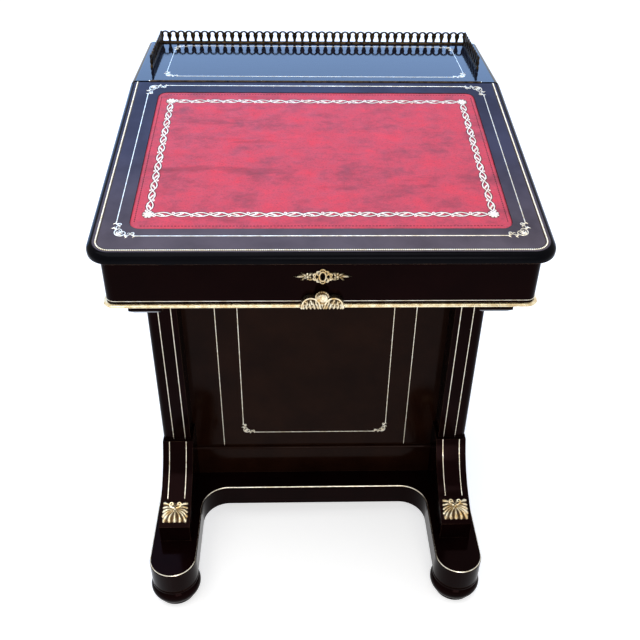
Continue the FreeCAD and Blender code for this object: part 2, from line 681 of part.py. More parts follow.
def gallery_run(name, length):
    """One straight run of the gallery: a sill, end posts and arches pierced with bell-shaped openings."""
    body = new_body(f"{name}_body")
    bays = f"round(({length} - post_wide) / arch_pitch)"
    pitch = f"(({length} - post_wide) / {bays})"
    side = f"({pitch} / 2 + bar_lap)"
    foot = f"({pitch} / 2 - bar_foot / 2)"
    waist = f"({pitch} / 2 - bar_waist / 2)"
    flare = f"({foot} * 0.75 + {waist} * 0.25)"
    sill = [("0", "0"), (length, "0"), (length, "sill_high"), ("0", "sill_high")]
    pad(body, profile(body, "XZ_Plane", f"{name}_sill", sill), "gallery_thick", midplane=True)
    for start in ("0", f"{length} - post_wide"):
        end = f"{start} + post_wide"
        post = [(start, "0"), (end, "0"), (end, "gallery_high"), (start, "gallery_high")]
        pad(body, profile(body, "XZ_Plane", f"{name}_post", post), "post_wide", midplane=True)
    middle = f"(post_wide / 2 + {pitch} / 2)"
    head = "(gallery_high - arch_crown - arch_head)"
    bell = bow(middle, head, "arch_head", f"(180 deg - asin({waist} / arch_head))", 5)
    rise = f"(sill_high * 0.5 + ({bell[0][1]}) * 0.5)"
    arch = [(f"{middle} - {side}", "sill_high / 2"), (f"{middle} - {foot}", "sill_high / 2")]
    arch += [(f"{middle} - {flare}", rise)] + bell[::-1] + [(f"{middle} + {flare}", rise)]
    arch += [(f"{middle} + {foot}", "sill_high / 2"), (f"{middle} + {side}", "sill_high / 2")]
    arch += bow(middle, "gallery_high - arch_round", "arch_round", f"asin({side} / arch_round)", 4)
    first = pad(body, profile(body, "XZ_Plane", f"{name}_arch", arch), "gallery_thick", midplane=True)
    row = body.newObject("PartDesign::LinearPattern", f"{name}_row")
    row.Originals = [first]
    axis = next(feature for feature in body.Origin.OriginFeatures if feature.Role == "X_Axis")
    row.Direction = (axis, [""])
    bind(row, "Length", f"{pitch} * ({bays} - 1)")
    bind(row, "Occurrences", bays)
    row.Refine = True
    body.Tip = row
    doc.recompute()
    return body


def make_gallery():
    """Pierced gallery round the back and sides of the flat top, in three runs that meet at corner posts."""
    side = "(lid_width / 2 - gallery_side)"
    back = "(desk_depth / 2 - gallery_inset)"
    rear = gallery_run("gallery_back", f"2 * {side}")
    place(rear, f"-{side}", back, "top_height")
    runs = [rear]
    for name, x in (("gallery_left", f"-{side} + post_wide / 2"),
                    ("gallery_right", f"{side} - post_wide / 2")):
        run = gallery_run(name, "gallery_run")
        turn = FreeCAD.Rotation(FreeCAD.Vector(0, 0, 1), -90)
        run.Placement = FreeCAD.Placement(FreeCAD.Vector(0, 0, 0), turn)
        place(run, x, f"{back} - post_wide / 2", "top_height")
        runs.append(run)
    node("gallery", group("gallery_runs", runs))


# Lid

def lay_on_slope(thing):
    """Lays a piece that is drawn flat on to the lid's slope, hinged at the seam."""
    tilt(thing, (1, 0, 0), "lid_slope")
    place(thing, y=HINGE_Y, z="top_height")
    return thing


def make_lid():
    """Sloping lid with rounded front corners, a rounded edge and a sunk bed for the leather."""
    body = new_body("lid_board_body")
    half = "lid_width / 2"
    back = "-seam_gap / 2"
    front = f"-{LID_LONG}"
    outline = [(f"-{half}", back), (f"-{half}", front), (half, front), (half, back)]
    pad(body, profile(body, "XY_Plane", "lid_plan", outline), "top_thick", reverse=True)
    fillet(body, upright_at(y=value(front)), "lid_corner")
    fillet(body, level_at(0, but=value(back)), "lid_round")
    bevel(body, level_at(-value("top_thick"), but=value(back)), "lid_under")
    bed = profile(body, "XY_Plane", "leather_bed", leather_outline("0"))
    pocket(body, bed, "leather_thick + leather_sink")
    corners = upright_at(x=value(f"{half} - leather_side"))
    fillet(body, corners, "leather_corner")
    node("lid_board", lay_on_slope(body))


def leather_outline(gap):
    """Rectangle of the leather on the lid, drawn in by a gap."""
    half = f"(lid_width / 2 - leather_side - {gap})"
    back = f"(-leather_back - {gap})"
    front = f"(-{LID_LONG} + leather_front + {gap})"
    return [(f"-{half}", back), (f"-{half}", front), (half, front), (half, back)]


def make_leather():
    """Leather skin in its bed on the lid."""
    body = new_body("lid_leather_body")
    pad(body, profile(body, "XY_Plane", "leather_plan", leather_outline("leather_gap")), "leather_thick")
    fillet(body, upright_at(), "leather_corner - leather_gap")
    tilt(body, (1, 0, 0), "lid_slope")
    sunk = "(leather_thick + leather_sink)"
    place(body, y=f"{HINGE_Y} + {sunk} * sin(lid_slope)", z=f"top_height - {sunk} * cos(lid_slope)")
    node("lid_leather", body)


def make_bead():
    """Milled brass strip round the front and sides of the lid, just inside its rounded edge."""
    body = new_body("lid_bead_body")
    outer = "(lid_width / 2 - bead_inset + bead_wide / 2)"
    inner = "(lid_width / 2 - bead_inset - bead_wide / 2)"
    back = "(-seam_gap / 2)"
    front_outer = f"(-{LID_LONG} + bead_inset - bead_wide / 2)"
    front_inner = f"(-{LID_LONG} + bead_inset + bead_wide / 2)"
    outline = [(f"-{outer}", back), (f"-{outer}", front_outer), (outer, front_outer), (outer, back),
               (inner, back), (inner, front_inner), (f"-{inner}", front_inner), (f"-{inner}", back)]
    pad(body, profile(body, "XY_Plane", "lid_bead_plan", outline), "bead_high")
    fillet(body, upright_at(y=value(front_outer)), "lid_corner - bead_inset + bead_wide / 2")
    fillet(body, upright_at(y=value(front_inner)), "lid_corner - bead_inset - bead_wide / 2")
    node("lid_bead", lay_on_slope(body))


# Hinge

def make_hinge():
    """Long brass hinge in the seam: a leaf on the flat top, a leaf on the lid and the pin."""
    step = "(hinge_length / knuckle_count)"
    leaves = {"hinge_fixed_leaf": (0, 1), "hinge_lid_leaf": (1, -1)}
    for label, (first, side) in leaves.items():
        near = "seam_gap / 2 - leaf_thick"
        far = "seam_gap / 2"
        depth = (near, far) if side > 0 else (f"-({far})", f"-({near})")
        top = "-(knuckle_radius + knuckle_gap)"
        pieces = [board(f"{label}_plate", ("-hinge_length / 2", "hinge_length / 2"), depth,
                        (f"{top} - leaf_high", top))]
        for index in range(first, SIZES["knuckle_count"], 2):
            start = f"-hinge_length / 2 + {index} * {step} + knuckle_gap / 2"
            barrel = rod(f"{label}_barrel_{index}", "knuckle_radius", f"{step} - knuckle_gap", "x")
            place(barrel, x=start)
            end = f"{start} + {step} - knuckle_gap"
            neck = board(f"{label}_neck_{index}", (start, end), depth, (top, "0"))
            pieces += [barrel, neck]
        bore = rod(f"{label}_bore", "pin_radius + pin_clearance", "2 * hinge_length", "x")
        place(bore, x="-hinge_length")
        node(label, lay_on_slope(cut(f"{label}_cut", join(f"{label}_whole", pieces), bore)))
    pin = rod("hinge_pin_rod", "pin_radius", "hinge_length", "x")
    place(pin, "-hinge_length / 2", HINGE_Y, "top_height")
    node("hinge_pin", pin)


# Lock

LOCK_FRONT_Y = f"({BOX_FRONT_Y} + box_board)"
LOCK_BACK_Y = f"({BOX_FRONT_Y} + box_board + lock_thick)"
LOCK_TOP = f"({lid_under_height(LOCK_FRONT_Y)} - lock_drop)"
BOLT_HEIGHT = f"({LOCK_TOP} - bolt_down)"
KEEPER_Y = f"({LOCK_BACK_Y} + keeper_gap + keeper_bar / 2)"


def make_lock():
    """Lock case inside the box front, and its bolt, which slides back through the eye of the lid's keeper."""
    across = ("-lock_wide / 2", "lock_wide / 2")
    case = board("lock_case_block", across, (LOCK_FRONT_Y, LOCK_BACK_Y),
                 (f"{LOCK_TOP} - lock_high", LOCK_TOP))
    slot_half = "(bolt_wide / 2 + bolt_clearance)"
    slot_rise = "(bolt_thick / 2 + bolt_clearance)"
    slot = board("lock_slot", (f"-{slot_half}", slot_half),
                 (f"{LOCK_FRONT_Y} + lock_wall", f"{LOCK_BACK_Y} + lock_wall"),
                 (f"{BOLT_HEIGHT} - {slot_rise}", f"{BOLT_HEIGHT} + {slot_rise}"))
    node("lock_case", cut("lock_case_cut", case, slot))
    node("lock_bolt", board("lock_bolt_bar", ("-bolt_wide / 2", "bolt_wide / 2"),
                            (f"{LOCK_FRONT_Y} + lock_wall + bolt_clearance",
                             f"{LOCK_BACK_Y} - bolt_clearance"),
                            (f"{BOLT_HEIGHT} - bolt_thick / 2", f"{BOLT_HEIGHT} + bolt_thick / 2")))


def make_keeper():
    """Keeper under the lid: a plate with a hanging loop, whose eye the bolt enters when the lid is shut."""
    forward = f"({KEEPER_Y} - {HINGE_Y})"
    down = f"({BOLT_HEIGHT} - top_height)"
    middle_y = f"({forward} * cos(lid_slope) + {down} * sin(lid_slope))"
    middle_z = f"({down} * cos(lid_slope) - {forward} * sin(lid_slope))"
    eye_half = "(bolt_wide / 2 + eye_room)"
    eye_low = f"({middle_z} - bolt_thick / 2 - eye_room)"
    depth = (f"{middle_y} - keeper_bar / 2", f"{middle_y} + keeper_bar / 2")
    plate_under = "(-top_thick - keeper_plate)"
    foot = (f"{eye_low} - keeper_bar", eye_low)
    bars = [
        board("keeper_plate_bar", ("-keeper_wide / 2", "keeper_wide / 2"),
              (depth[0], f"{depth[1]} + keeper_deep"), (plate_under, "-top_thick")),
        board("keeper_left_leg", (f"-{eye_half} - keeper_bar", f"-{eye_half}"), depth,
              (eye_low, plate_under)),
        board("keeper_right_leg", (eye_half, f"{eye_half} + keeper_bar"), depth, (eye_low, plate_under)),
        board("keeper_foot", (f"-{eye_half} - keeper_bar", f"{eye_half} + keeper_bar"), depth, foot),
    ]
    node("lock_keeper", lay_on_slope(group("lock_keeper_bars", bars)))


# Till

def make_till():
    """Till at the back of the well: a shelf on a middle divider, over two small drawers."""
    shelf_low = f"({WELL_FLOOR} + till_height)"
    deep = (TILL_FRONT_Y, TILL_BACK_Y)
    shelf = board("till_shelf", (f"-{WELL_HALF}", WELL_HALF), deep,
                  (shelf_low, f"{shelf_low} + till_board"))
    divider = board("till_divider", ("-till_board / 2", "till_board / 2"), deep, (WELL_FLOOR, shelf_low))
    node("till_case", group("till_case_boards", [shelf, divider]))
    for label, sign in (("till_drawer_left", -1), ("till_drawer_right", 1)):
        inner = "till_board / 2 + drawer_gap"
        outer = f"{WELL_HALF} - drawer_gap"
        left, right = (inner, outer) if sign > 0 else (f"-({outer})", f"-({inner})")
        low = f"{WELL_FLOOR} + drawer_rest"
        high = f"{shelf_low} - drawer_gap"
        behind = f"{TILL_FRONT_Y} + till_drawer_front"
        end = f"{TILL_BACK_Y} - tray_short"
        wall = "till_drawer_board"
        rim = f"{high} - tray_drop / 2"
        inside = (f"{left} + {wall}", f"{right} - {wall}")
        floor = f"{low} + drawer_floor"
        pieces = [
            board(f"{label}_front", (left, right), (TILL_FRONT_Y, behind), (low, high)),
            board(f"{label}_west", (left, f"{left} + {wall}"), (behind, end), (low, rim)),
            board(f"{label}_east", (f"{right} - {wall}", right), (behind, end), (low, rim)),
            board(f"{label}_floor", inside, (behind, end), (low, floor)),
            board(f"{label}_end", inside, (f"{end} - {wall}", end), (floor, rim)),
        ]
        body = knob(f"{label}_knob", "till_knob_radius", "till_knob_long", "till_knob_neck")
        middle = f"(({left}) + ({right})) / 2"
        pieces.append(lay_knob(body, "front", middle, TILL_FRONT_Y, f"({low} + {high}) / 2"))
        node(label, group(f"{label}_boards", pieces))


def write_parts():
    """Checks every object and writes each sub-part to a file of its own."""
    doc.recompute()
    for thing in doc.Objects:
        if "Invalid" in thing.State or "Error" in thing.State:
            raise RuntimeError(f"{thing.Label} is {thing.State}")
    for thing in nodes:
        if thing.Shape.isNull() or not thing.Shape.isValid() or not thing.Shape.Solids:
            raise RuntimeError(f"{thing.Label} has no valid solid")
    os.makedirs("parts", exist_ok=True)
    for thing in nodes:
        thing.Shape.exportStep(f"parts/{thing.Label}.step")
        print(thing.Label, len(thing.Shape.Solids), round(thing.Shape.Volume))


fill_sheet()
make_platform()
make_feet()
make_plinth()
make_pedestal()
make_drawers()
make_dummy_fronts()
make_supports()
make_box()
make_band()
make_escutcheon()
make_mask()
make_flat_top()
make_gallery()
make_lid()
make_leather()
make_bead()
make_hinge()
make_lock()
make_keeper()
make_till()
write_parts()
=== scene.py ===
"""Davenport desk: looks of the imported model, with its brass lines, mounts, leather and studio.

Sizes of the sub-assemblies are in millimetres, as in the CAD. Finishes, lamps and meshes are in metres.
"""

import logging
from dataclasses import dataclass, field
from enum import Enum
from math import asin, cos, exp, hypot, pi, radians, sin
from typing import Callable, Optional, Sequence, Union

import bmesh
import bpy
from mathutils import Matrix, Vector


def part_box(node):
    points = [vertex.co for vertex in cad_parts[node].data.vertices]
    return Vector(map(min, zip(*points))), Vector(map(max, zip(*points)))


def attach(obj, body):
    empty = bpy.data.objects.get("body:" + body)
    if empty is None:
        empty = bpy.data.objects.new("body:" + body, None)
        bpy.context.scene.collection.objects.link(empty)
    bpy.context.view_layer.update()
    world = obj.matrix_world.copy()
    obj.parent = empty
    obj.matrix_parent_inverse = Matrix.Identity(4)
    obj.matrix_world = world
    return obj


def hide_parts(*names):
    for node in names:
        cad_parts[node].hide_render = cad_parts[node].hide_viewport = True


LOG = logging.getLogger("davenport_desk")
MM = 0.001
EVERY_CORNER = ((1, 1), (1, -1), (-1, 1), (-1, -1))
# Painted shade across the section of a leaf and of a lobe: 0 on the shaded flanks, 1 on the ridge.
LEAF_SHADE_TONES = (0.0, 0.62, 1.0, 0.62, 0.0)
LOBE_SHADE_TONES = (0.0, 0.5, 1.0, 0.5, 0.0)
WIDEST_MITRE = 1.8
SHARPEST_BEND = 0.3
Point = tuple[float, float]
Spot = tuple[float, float, float]
Colour = tuple[float, float, float]
Socket = bpy.types.NodeSocket

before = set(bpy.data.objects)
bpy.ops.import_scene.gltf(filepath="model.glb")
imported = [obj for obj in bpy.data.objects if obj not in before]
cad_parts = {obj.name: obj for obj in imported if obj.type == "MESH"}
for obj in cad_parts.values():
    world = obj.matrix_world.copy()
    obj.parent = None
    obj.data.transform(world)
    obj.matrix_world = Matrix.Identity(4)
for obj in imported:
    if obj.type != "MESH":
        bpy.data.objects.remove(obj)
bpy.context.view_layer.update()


class Facing(Enum):
    """Ways that a flat face of the desk looks: its across, up and outward directions."""

    TOP = ((1, 0, 0), (0, 1, 0), (0, 0, 1))
    FRONT = ((1, 0, 0), (0, 0, 1), (0, -1, 0))
    RIGHT = ((0, 1, 0), (0, 0, 1), (1, 0, 0))
    LEFT = ((0, -1, 0), (0, 0, 1), (-1, 0, 0))

    def frame(self, origin: Sequence[float]) -> Matrix:
        """Gives the local frame of a face of this facing.

        Args:
            origin: The face's local origin in the row frame, in millimetres.

        Returns:
            The matrix from local millimetres to row-frame millimetres.
        """
        across, up, out = (Vector(way) for way in self.value)
        return Matrix.Translation(Vector(origin)) @ Matrix((across, up, out)).transposed().to_4x4()


class Slot(Enum):
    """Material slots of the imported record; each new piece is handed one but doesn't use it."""

    WOOD = "ebonised_wood"
    BRASS = "gilt_brass"
    LEATHER = "red_leather"


class NodeSheet:
    """A material's node tree, with short calls for the nodes that the finishes share."""

    def __init__(self, name: str) -> None:
        """Starts an empty material.

        Args:
            name: Name of the material.
        """
        self.material = bpy.data.materials.new(name)
        self.material.use_nodes = True
        self.tree = self.material.node_tree
        self.tree.nodes.clear()
        self.output = self.add("ShaderNodeOutputMaterial")
        self.coordinates = self.add("ShaderNodeTexCoord")
        self.place = self.coordinates.outputs["Object"]

    def add(self, kind: str, **settings: object) -> bpy.types.Node:
        """Adds one node and sets its properties.

        Args:
            kind: The node's type name.
            settings: Property values by name.

        Returns:
            The new node.
        """
        made = self.tree.nodes.new(kind)
        for key, value in settings.items():
            setattr(made, key, value)
        return made

    def link(self, source: Socket, target: Socket) -> None:
        """Joins an output to an input."""
        self.tree.links.new(source, target)

    def axis(self, space: str, way: str) -> Socket:
        """Gives one coordinate of a texture space.

        Args:
            space: Object for the place, Normal for the facing.
            way: X, Y or Z.

        Returns:
            The coordinate.
        """
        split = self.add("ShaderNodeSeparateXYZ")
        self.link(self.coordinates.outputs[space], split.inputs["Vector"])
        return split.outputs[way]

    def noise(self, scale: float, detail: float = 3.0, stretch: Sequence[float] = (1, 1, 1),
              rough: float = 0.55) -> Socket:
        """Gives a cloud of values from 0 to 1.

        Args:
            scale: Features per metre.
            detail: Octaves.
            stretch: Scale factors along X, Y and Z.
            rough: How strong the finer octaves are.

        Returns:
            The cloud's value socket.
        """
        mapping = self.add("ShaderNodeMapping")
        mapping.inputs["Scale"].default_value = stretch
        self.link(self.place, mapping.inputs["Vector"])
        cloud = self.add("ShaderNodeTexNoise")
        cloud.inputs["Scale"].default_value = scale
        cloud.inputs["Detail"].default_value = detail
        cloud.inputs["Roughness"].default_value = rough
        self.link(mapping.outputs["Vector"], cloud.inputs["Vector"])
        return cloud.outputs["Fac"]

    def cells(self, scale: float, feature: str = "F1") -> Socket:
        """Gives the distance field of a cell pattern.

        Args:
            scale: Cells per metre.
            feature: Which distance is given.

        Returns:
            The distance socket.
        """
        pattern = self.add("ShaderNodeTexVoronoi", feature=feature)
        pattern.inputs["Scale"].default_value = scale
        self.link(self.place, pattern.inputs["Vector"])
        return pattern.outputs["Distance"]

    def ramp(self, source: Socket, stops: Sequence[tuple[float, Colour]]) -> Socket:
        """Turns a value into a colour.

        Args:
            source: The value.
            stops: Places from 0 to 1 and their colours.

        Returns:
            The colour socket.
        """
        band = self.add("ShaderNodeValToRGB")
        while len(band.color_ramp.elements) < len(stops):
            band.color_ramp.elements.new(1.0)
        for element, (at, colour) in zip(band.color_ramp.elements, stops):
            element.position = at
            element.color = (*colour, 1.0)
        self.link(source, band.inputs["Fac"])
        return band.outputs["Color"]

    def span(self, source: Socket, low: float, high: float, start: float, end: float) -> Socket:
        """Maps a value's range on to another.

        Args:
            source: The value.
            low: Lower end of the value's range.
            high: Upper end of the value's range.
            start: Result at the lower end.
            end: Result at the upper end.

        Returns:
            The mapped value.
        """
        made = self.add("ShaderNodeMapRange")
        for name, value in zip(("From Min", "From Max", "To Min", "To Max"), (low, high, start, end)):
            made.inputs[name].default_value = value
        self.link(source, made.inputs["Value"])
        return made.outputs["Result"]

    def math(self, operation: str, first: Socket, second: Socket) -> Socket:
        """Joins two values by one operation.

        Args:
            operation: The operation's type name.
            first: The first value.
            second: The second value.

        Returns:
            The result.
        """
        made = self.add("ShaderNodeMath", operation=operation)
        self.link(first, made.inputs[0])
        self.link(second, made.inputs[1])
        return made.outputs["Value"]

    def mix(self, share: Socket, first: Socket, second: Union[Socket, Colour]) -> Socket:
        """Lays a colour over another by a share.

        Args:
            share: How much of the second colour shows.
            first: The colour below.
            second: The colour above, plain or varied.

        Returns:
            The mixed colour.
        """
        made = self.add("ShaderNodeMix", data_type="RGBA")
        self.link(share, made.inputs["Factor"])
        below, above = (socket for socket in made.inputs if socket.type == "RGBA")
        self.link(first, below)
        if isinstance(second, tuple):
            above.default_value = (*second, 1.0)
        else:
            self.link(second, above)
        return next(socket for socket in made.outputs if socket.type == "RGBA")

    def edges(self, radius: float, keep: float = 0.25) -> Socket:
        """Gives a mask of the sharp edges, broken up by a cloud.

        Args:
            radius: Reach of the wear, in metres.
            keep: Share of the edge that stays unworn.

        Returns:
            The mask, from 0 to 1.
        """
        eased = self.add("ShaderNodeBevel", samples=4)
        eased.inputs["Radius"].default_value = radius
        flat = self.add("ShaderNodeNewGeometry")
        turned = self.add("ShaderNodeVectorMath", operation="DOT_PRODUCT")
        self.link(eased.outputs["Normal"], turned.inputs[0])
        self.link(flat.outputs["Normal"], turned.inputs[1])
        worn = self.span(turned.outputs["Value"], 0.97, 0.80, 0.0, 1.0)
        broken = self.span(self.noise(scale=45, detail=4), keep, 0.75, 0.0, 1.0)
        return self.math("MULTIPLY", worn, broken)

    def bump(self, height: Socket, strength: float, distance: float,
             under: Optional[Socket] = None) -> Socket:
        """Turns heights into surface relief.

        Args:
            height: The heights.
            strength: Share of the relief that shows.
            distance: Depth of the relief, in metres.
            under: Relief that this one lies on.

        Returns:
            The normal socket.
        """
        made = self.add("ShaderNodeBump")
        made.inputs["Strength"].default_value = strength
        made.inputs["Distance"].default_value = distance
        self.link(height, made.inputs["Height"])
        if under:
            self.link(under, made.inputs["Normal"])
        return made.outputs["Normal"]

    def shade(self, colour: Socket, roughness: Socket, normal: Socket,
              **constants: object) -> bpy.types.Material:
        """Ends the tree in one principled shader.

        Args:
            colour: Base colour.
            roughness: Roughness.
            normal: Relief.
            constants: Values of other sockets, by name with underscores for blanks.

        Returns:
            The finished material.
        """
        shader = self.add("ShaderNodeBsdfPrincipled")
        self.link(colour, shader.inputs["Base Color"])
        self.link(roughness, shader.inputs["Roughness"])
        self.link(normal, shader.inputs["Normal"])
        for key, value in constants.items():
            shader.inputs[key.replace("_", " ")].default_value = value
        self.link(shader.outputs["BSDF"], self.output.inputs["Surface"])
        return self.material


def darker(colour: Colour, share: float) -> Colour:
    """Gives a share of a colour."""
    return tuple(share * part for part in colour)


@dataclass(frozen=True)
class Lacquer:
    """Black polish on wood: a deep ground, faint brush marks and edges rubbed brown.

    Attributes:
        name: Name of the material.
        deep: Darkest colour of the ground.
        warm: Lightest colour of the ground.
        gloss: Least roughness.
        level: Strength of the mirror image.
        tint: Colour of the mirror image.
        painted_reflection: Colours of the painted reflection of the sky on the upward face, from the back to
            the front.
        rub: Colour of the rubbed edges.
        painted_reflection_reach: Places of the painted reflection's back and front.
        painted_reflection_facing: Upward parts of the normal between which the painted reflection sets in.
    """

    name: str
    deep: Colour
    warm: Colour
    gloss: float
    level: float
    tint: Colour
    painted_reflection: tuple[Colour, ...] = ()
    rub: Colour = (0.075, 0.042, 0.028)
    painted_reflection_reach: Point = (0.10, -0.27)
    painted_reflection_facing: Point = (0.970, 0.984)

    def material(self) -> bpy.types.Material:
        """Builds the polish.

        Returns:
            The material.
        """
        sheet = NodeSheet(self.name)
        ground = sheet.ramp(sheet.noise(scale=14, detail=5), [(0.3, self.deep), (0.72, self.warm)])
        colour = sheet.mix(sheet.edges(radius=0.0016), ground, self.rub)
        # Painted reflection: the upward face is tinted with the sky's mirrored colours, graded from back to
        # front and broken in patches.
        if self.painted_reflection:
            last = max(1, len(self.painted_reflection) - 1)
            stops = [(k / last, tint) for k, tint in enumerate(self.painted_reflection)]
            cloud = sheet.ramp(sheet.span(sheet.axis("Object", "Y"), *self.painted_reflection_reach, 0.0, 1.0), stops)
            thin = sheet.span(sheet.noise(scale=11, detail=6), 0.45, 0.8, 0.0, 0.55)
            patchy = sheet.mix(thin, cloud, self.warm)
            upward = sheet.span(sheet.axis("Normal", "Z"), *self.painted_reflection_facing, 0.0, 1.0)
            colour = sheet.mix(upward, colour, patchy)
        haze = sheet.span(sheet.noise(scale=26, detail=6), 0.3, 0.75, self.gloss, self.gloss + 0.11)
        brushed = sheet.bump(sheet.noise(60, 3, stretch=(0.25, 1, 1)), strength=0.05, distance=0.0006)
        normal = sheet.bump(sheet.noise(420, 2), strength=0.04, distance=0.0003, under=brushed)
        return sheet.shade(colour, haze, normal, Specular_IOR_Level=self.level,
                           Specular_Tint=(*self.tint, 1.0))


@dataclass(frozen=True)
class GiltBrass:
    """Lacquered brass: pale gold, with brown tarnish in patches, and the hollows and flanks darkened as
    painted shade where relief is set.

    Attributes:
        name: Name of the material.
        pale: Colour of the clean metal.
        dull: Colour of the dull patches.
        relief: Whether the hollows and flanks of the piece are darkened as painted shade.
        gloss: Least roughness.
        shadow: Lift below which the painted shade of the hollows sets in.
        hollow: Colour of the painted shade in the hollows.
        tarnish: Colour of the small spots.
    """

    name: str
    pale: Colour
    dull: Colour
    relief: bool = False
    gloss: float = 0.22
    shadow: float = 0.62
    hollow: Colour = (0.030, 0.012, 0.004)
    tarnish: Colour = (0.22, 0.12, 0.04)

    def material(self) -> bpy.types.Material:
        """Builds the brass.

        Returns:
            The material.
        """
        sheet = NodeSheet(self.name)
        ground = sheet.ramp(sheet.noise(scale=130, detail=5), [(0.34, self.dull), (0.62, self.pale)])
        if self.relief:
            # Painted shade: the lift from the relief attribute darkens hollows and flanks towards the hollow
            # colour.
            lift = sheet.add("ShaderNodeAttribute", attribute_name="relief").outputs["Fac"]
            ground = sheet.mix(sheet.span(lift, self.shadow, 0.08, 0.0, 0.97), ground, self.hollow)
        spots = sheet.span(sheet.noise(scale=620), 0.62, 0.8, 0.0, 0.55)
        colour = sheet.mix(spots, ground, self.tarnish)
        rough = sheet.span(sheet.noise(scale=300, detail=4), 0.3, 0.75, self.gloss, self.gloss + 0.24)
        normal = sheet.bump(sheet.noise(scale=900), strength=0.22, distance=0.0003)
        return sheet.shade(colour, rough, normal, Metallic=1.0)


@dataclass(frozen=True)
class GoldLeaf:
    """Gold leaf pressed into leather: pale, dry and rubbed thin in places."""

    name: str = "gold_leaf_tooling"
    dull: Colour = (0.80, 0.62, 0.48)
    bright: Colour = (0.98, 0.90, 0.82)
    bare: Colour = (0.62, 0.25, 0.22)

    def material(self) -> bpy.types.Material:
        """Builds the gold leaf.

        Returns:
            The material.
        """
        sheet = NodeSheet(self.name)
        leaf = sheet.ramp(sheet.noise(scale=90, detail=5), [(0.3, self.dull), (0.5, self.bright)])
        thin = sheet.span(sheet.noise(scale=300, detail=4), 0.60, 0.74, 0.0, 0.6)
        colour = sheet.mix(thin, leaf, self.bare)
        rough = sheet.span(sheet.noise(scale=500), 0.3, 0.7, 0.34, 0.58)
        normal = sheet.bump(sheet.cells(scale=1100), strength=0.25, distance=0.0002)
        return sheet.shade(colour, rough, normal, Metallic=0.25)


@dataclass(frozen=True)
class RedLeather:
    """Dyed skin: pebbled grain, mottled dye, long dark rubs and dark flecks."""

    name: str
    bright: Colour
    dark: Colour
    rough: float
    flush: Colour = (1.24, 0.84, 0.86)
    rub: float = 0.30
    fleck: float = 0.55

    def material(self) -> bpy.types.Material:
        """Builds the leather.

        Returns:
            The material.
        """
        sheet = NodeSheet(self.name)
        vivid = tuple(share * part for share, part in zip(self.flush, self.bright))
        dye = sheet.ramp(sheet.noise(24, 8, stretch=(0.8, 1.2, 1.2), rough=0.74),
                         [(0.33, self.dark), (0.50, self.bright), (0.66, vivid)])
        streaks = sheet.span(sheet.noise(10, 5, stretch=(0.5, 3.0, 3.0), rough=0.6), 0.60, 0.80, 0.0, 0.85)
        rubbed = sheet.mix(streaks, dye, darker(self.dark, self.rub))
        flecks = sheet.span(sheet.noise(scale=520), 0.52, 0.74, 0.0, 0.42)
        colour = sheet.mix(flecks, rubbed, darker(self.dark, self.fleck))
        rough = sheet.span(sheet.noise(scale=60, detail=5), 0.3, 0.75, self.rough, self.rough + 0.2)
        pebble = sheet.bump(sheet.cells(scale=760), strength=0.42, distance=0.0005)
        net = sheet.cells(scale=210, feature="DISTANCE_TO_EDGE")
        creased = sheet.bump(net, strength=0.12, distance=0.0004, under=pebble)
        normal = sheet.bump(sheet.noise(38, 4), strength=0.25, distance=0.0012, under=creased)
        return sheet.shade(colour, rough, normal, Specular_IOR_Level=0.26)


@dataclass(frozen=True)
class PlainWood:
    """Waxed inside wood with long grain, and a black front edge where it shows between the drawers."""

    name: str
    pale: Colour
    brown: Colour
    along: Spot
    blacked: float = 0.0
    black: Colour = (0.008, 0.003, 0.002)
    black_from: float = 0.003
    black_full: float = 0.001
    grain_stretch: float = 0.06
    pore: float = 0.45
    edge: float = 0.55

    def material(self) -> bpy.types.Material:
        """Builds the wood.

        Returns:
            The material.
        """
        sheet = NodeSheet(self.name)
        stretch = tuple(self.grain_stretch if way else 1.0 for way in self.along)
        grain = sheet.noise(85, 8, stretch, 0.68)
        pores = sheet.noise(520, 3, stretch)
        figure = sheet.ramp(grain, [(0.32, self.brown), (0.60, self.pale)])
        pitted = sheet.span(pores, 0.58, 0.74, 0.0, 0.7)
        pored = sheet.mix(pitted, figure, darker(self.brown, self.pore))
        colour = sheet.mix(sheet.edges(radius=0.0014), pored, darker(self.brown, self.edge))
        if self.blacked:
            start, full = self.blacked - self.black_from, self.blacked - self.black_full
            stain = sheet.span(sheet.axis("Object", "X"), start, full, 0.0, 1.0)
            colour = sheet.mix(stain, colour, self.black)
        rough = sheet.span(grain, 0.3, 0.7, 0.42, 0.62)
        normal = sheet.bump(pores, strength=0.18, distance=0.0004)
        return sheet.shade(colour, rough, normal)


@dataclass(frozen=True)
class PaleFloor:
    """Pale studio floor that shows white, with the desk's soft shadow kept."""

    name: str = "pale_floor"
    low: Colour = (0.80, 0.80, 0.80)
    high: Colour = (0.83, 0.83, 0.83)
    glow: float = 0.62

    def material(self) -> bpy.types.Material:
        """Builds the floor.

        Returns:
            The material.
        """
        sheet = NodeSheet(self.name)
        plain = sheet.add("ShaderNodeBsdfDiffuse")
        sheet.link(sheet.ramp(sheet.noise(scale=3, detail=4), [(0.3, self.low), (0.7, self.high)]),
                   plain.inputs["Color"])
        glow = sheet.add("ShaderNodeEmission")
        glow.inputs["Color"].default_value = (1, 1, 1, 1)
        seen = sheet.add("ShaderNodeLightPath").outputs
        mirrored = sheet.math("MAXIMUM", seen["Is Glossy Ray"], seen["Is Transmission Ray"])
        rays = sheet.math("MAXIMUM", seen["Is Camera Ray"], mirrored)
        sheet.link(sheet.span(rays, 0.0, 1.0, 0.0, self.glow), glow.inputs["Strength"])
        both = sheet.add("ShaderNodeAddShader")
        sheet.link(plain.outputs["BSDF"], both.inputs[0])
        sheet.link(glow.outputs["Emission"], both.inputs[1])
        sheet.link(both.outputs["Shader"], sheet.output.inputs["Surface"])
        return sheet.material


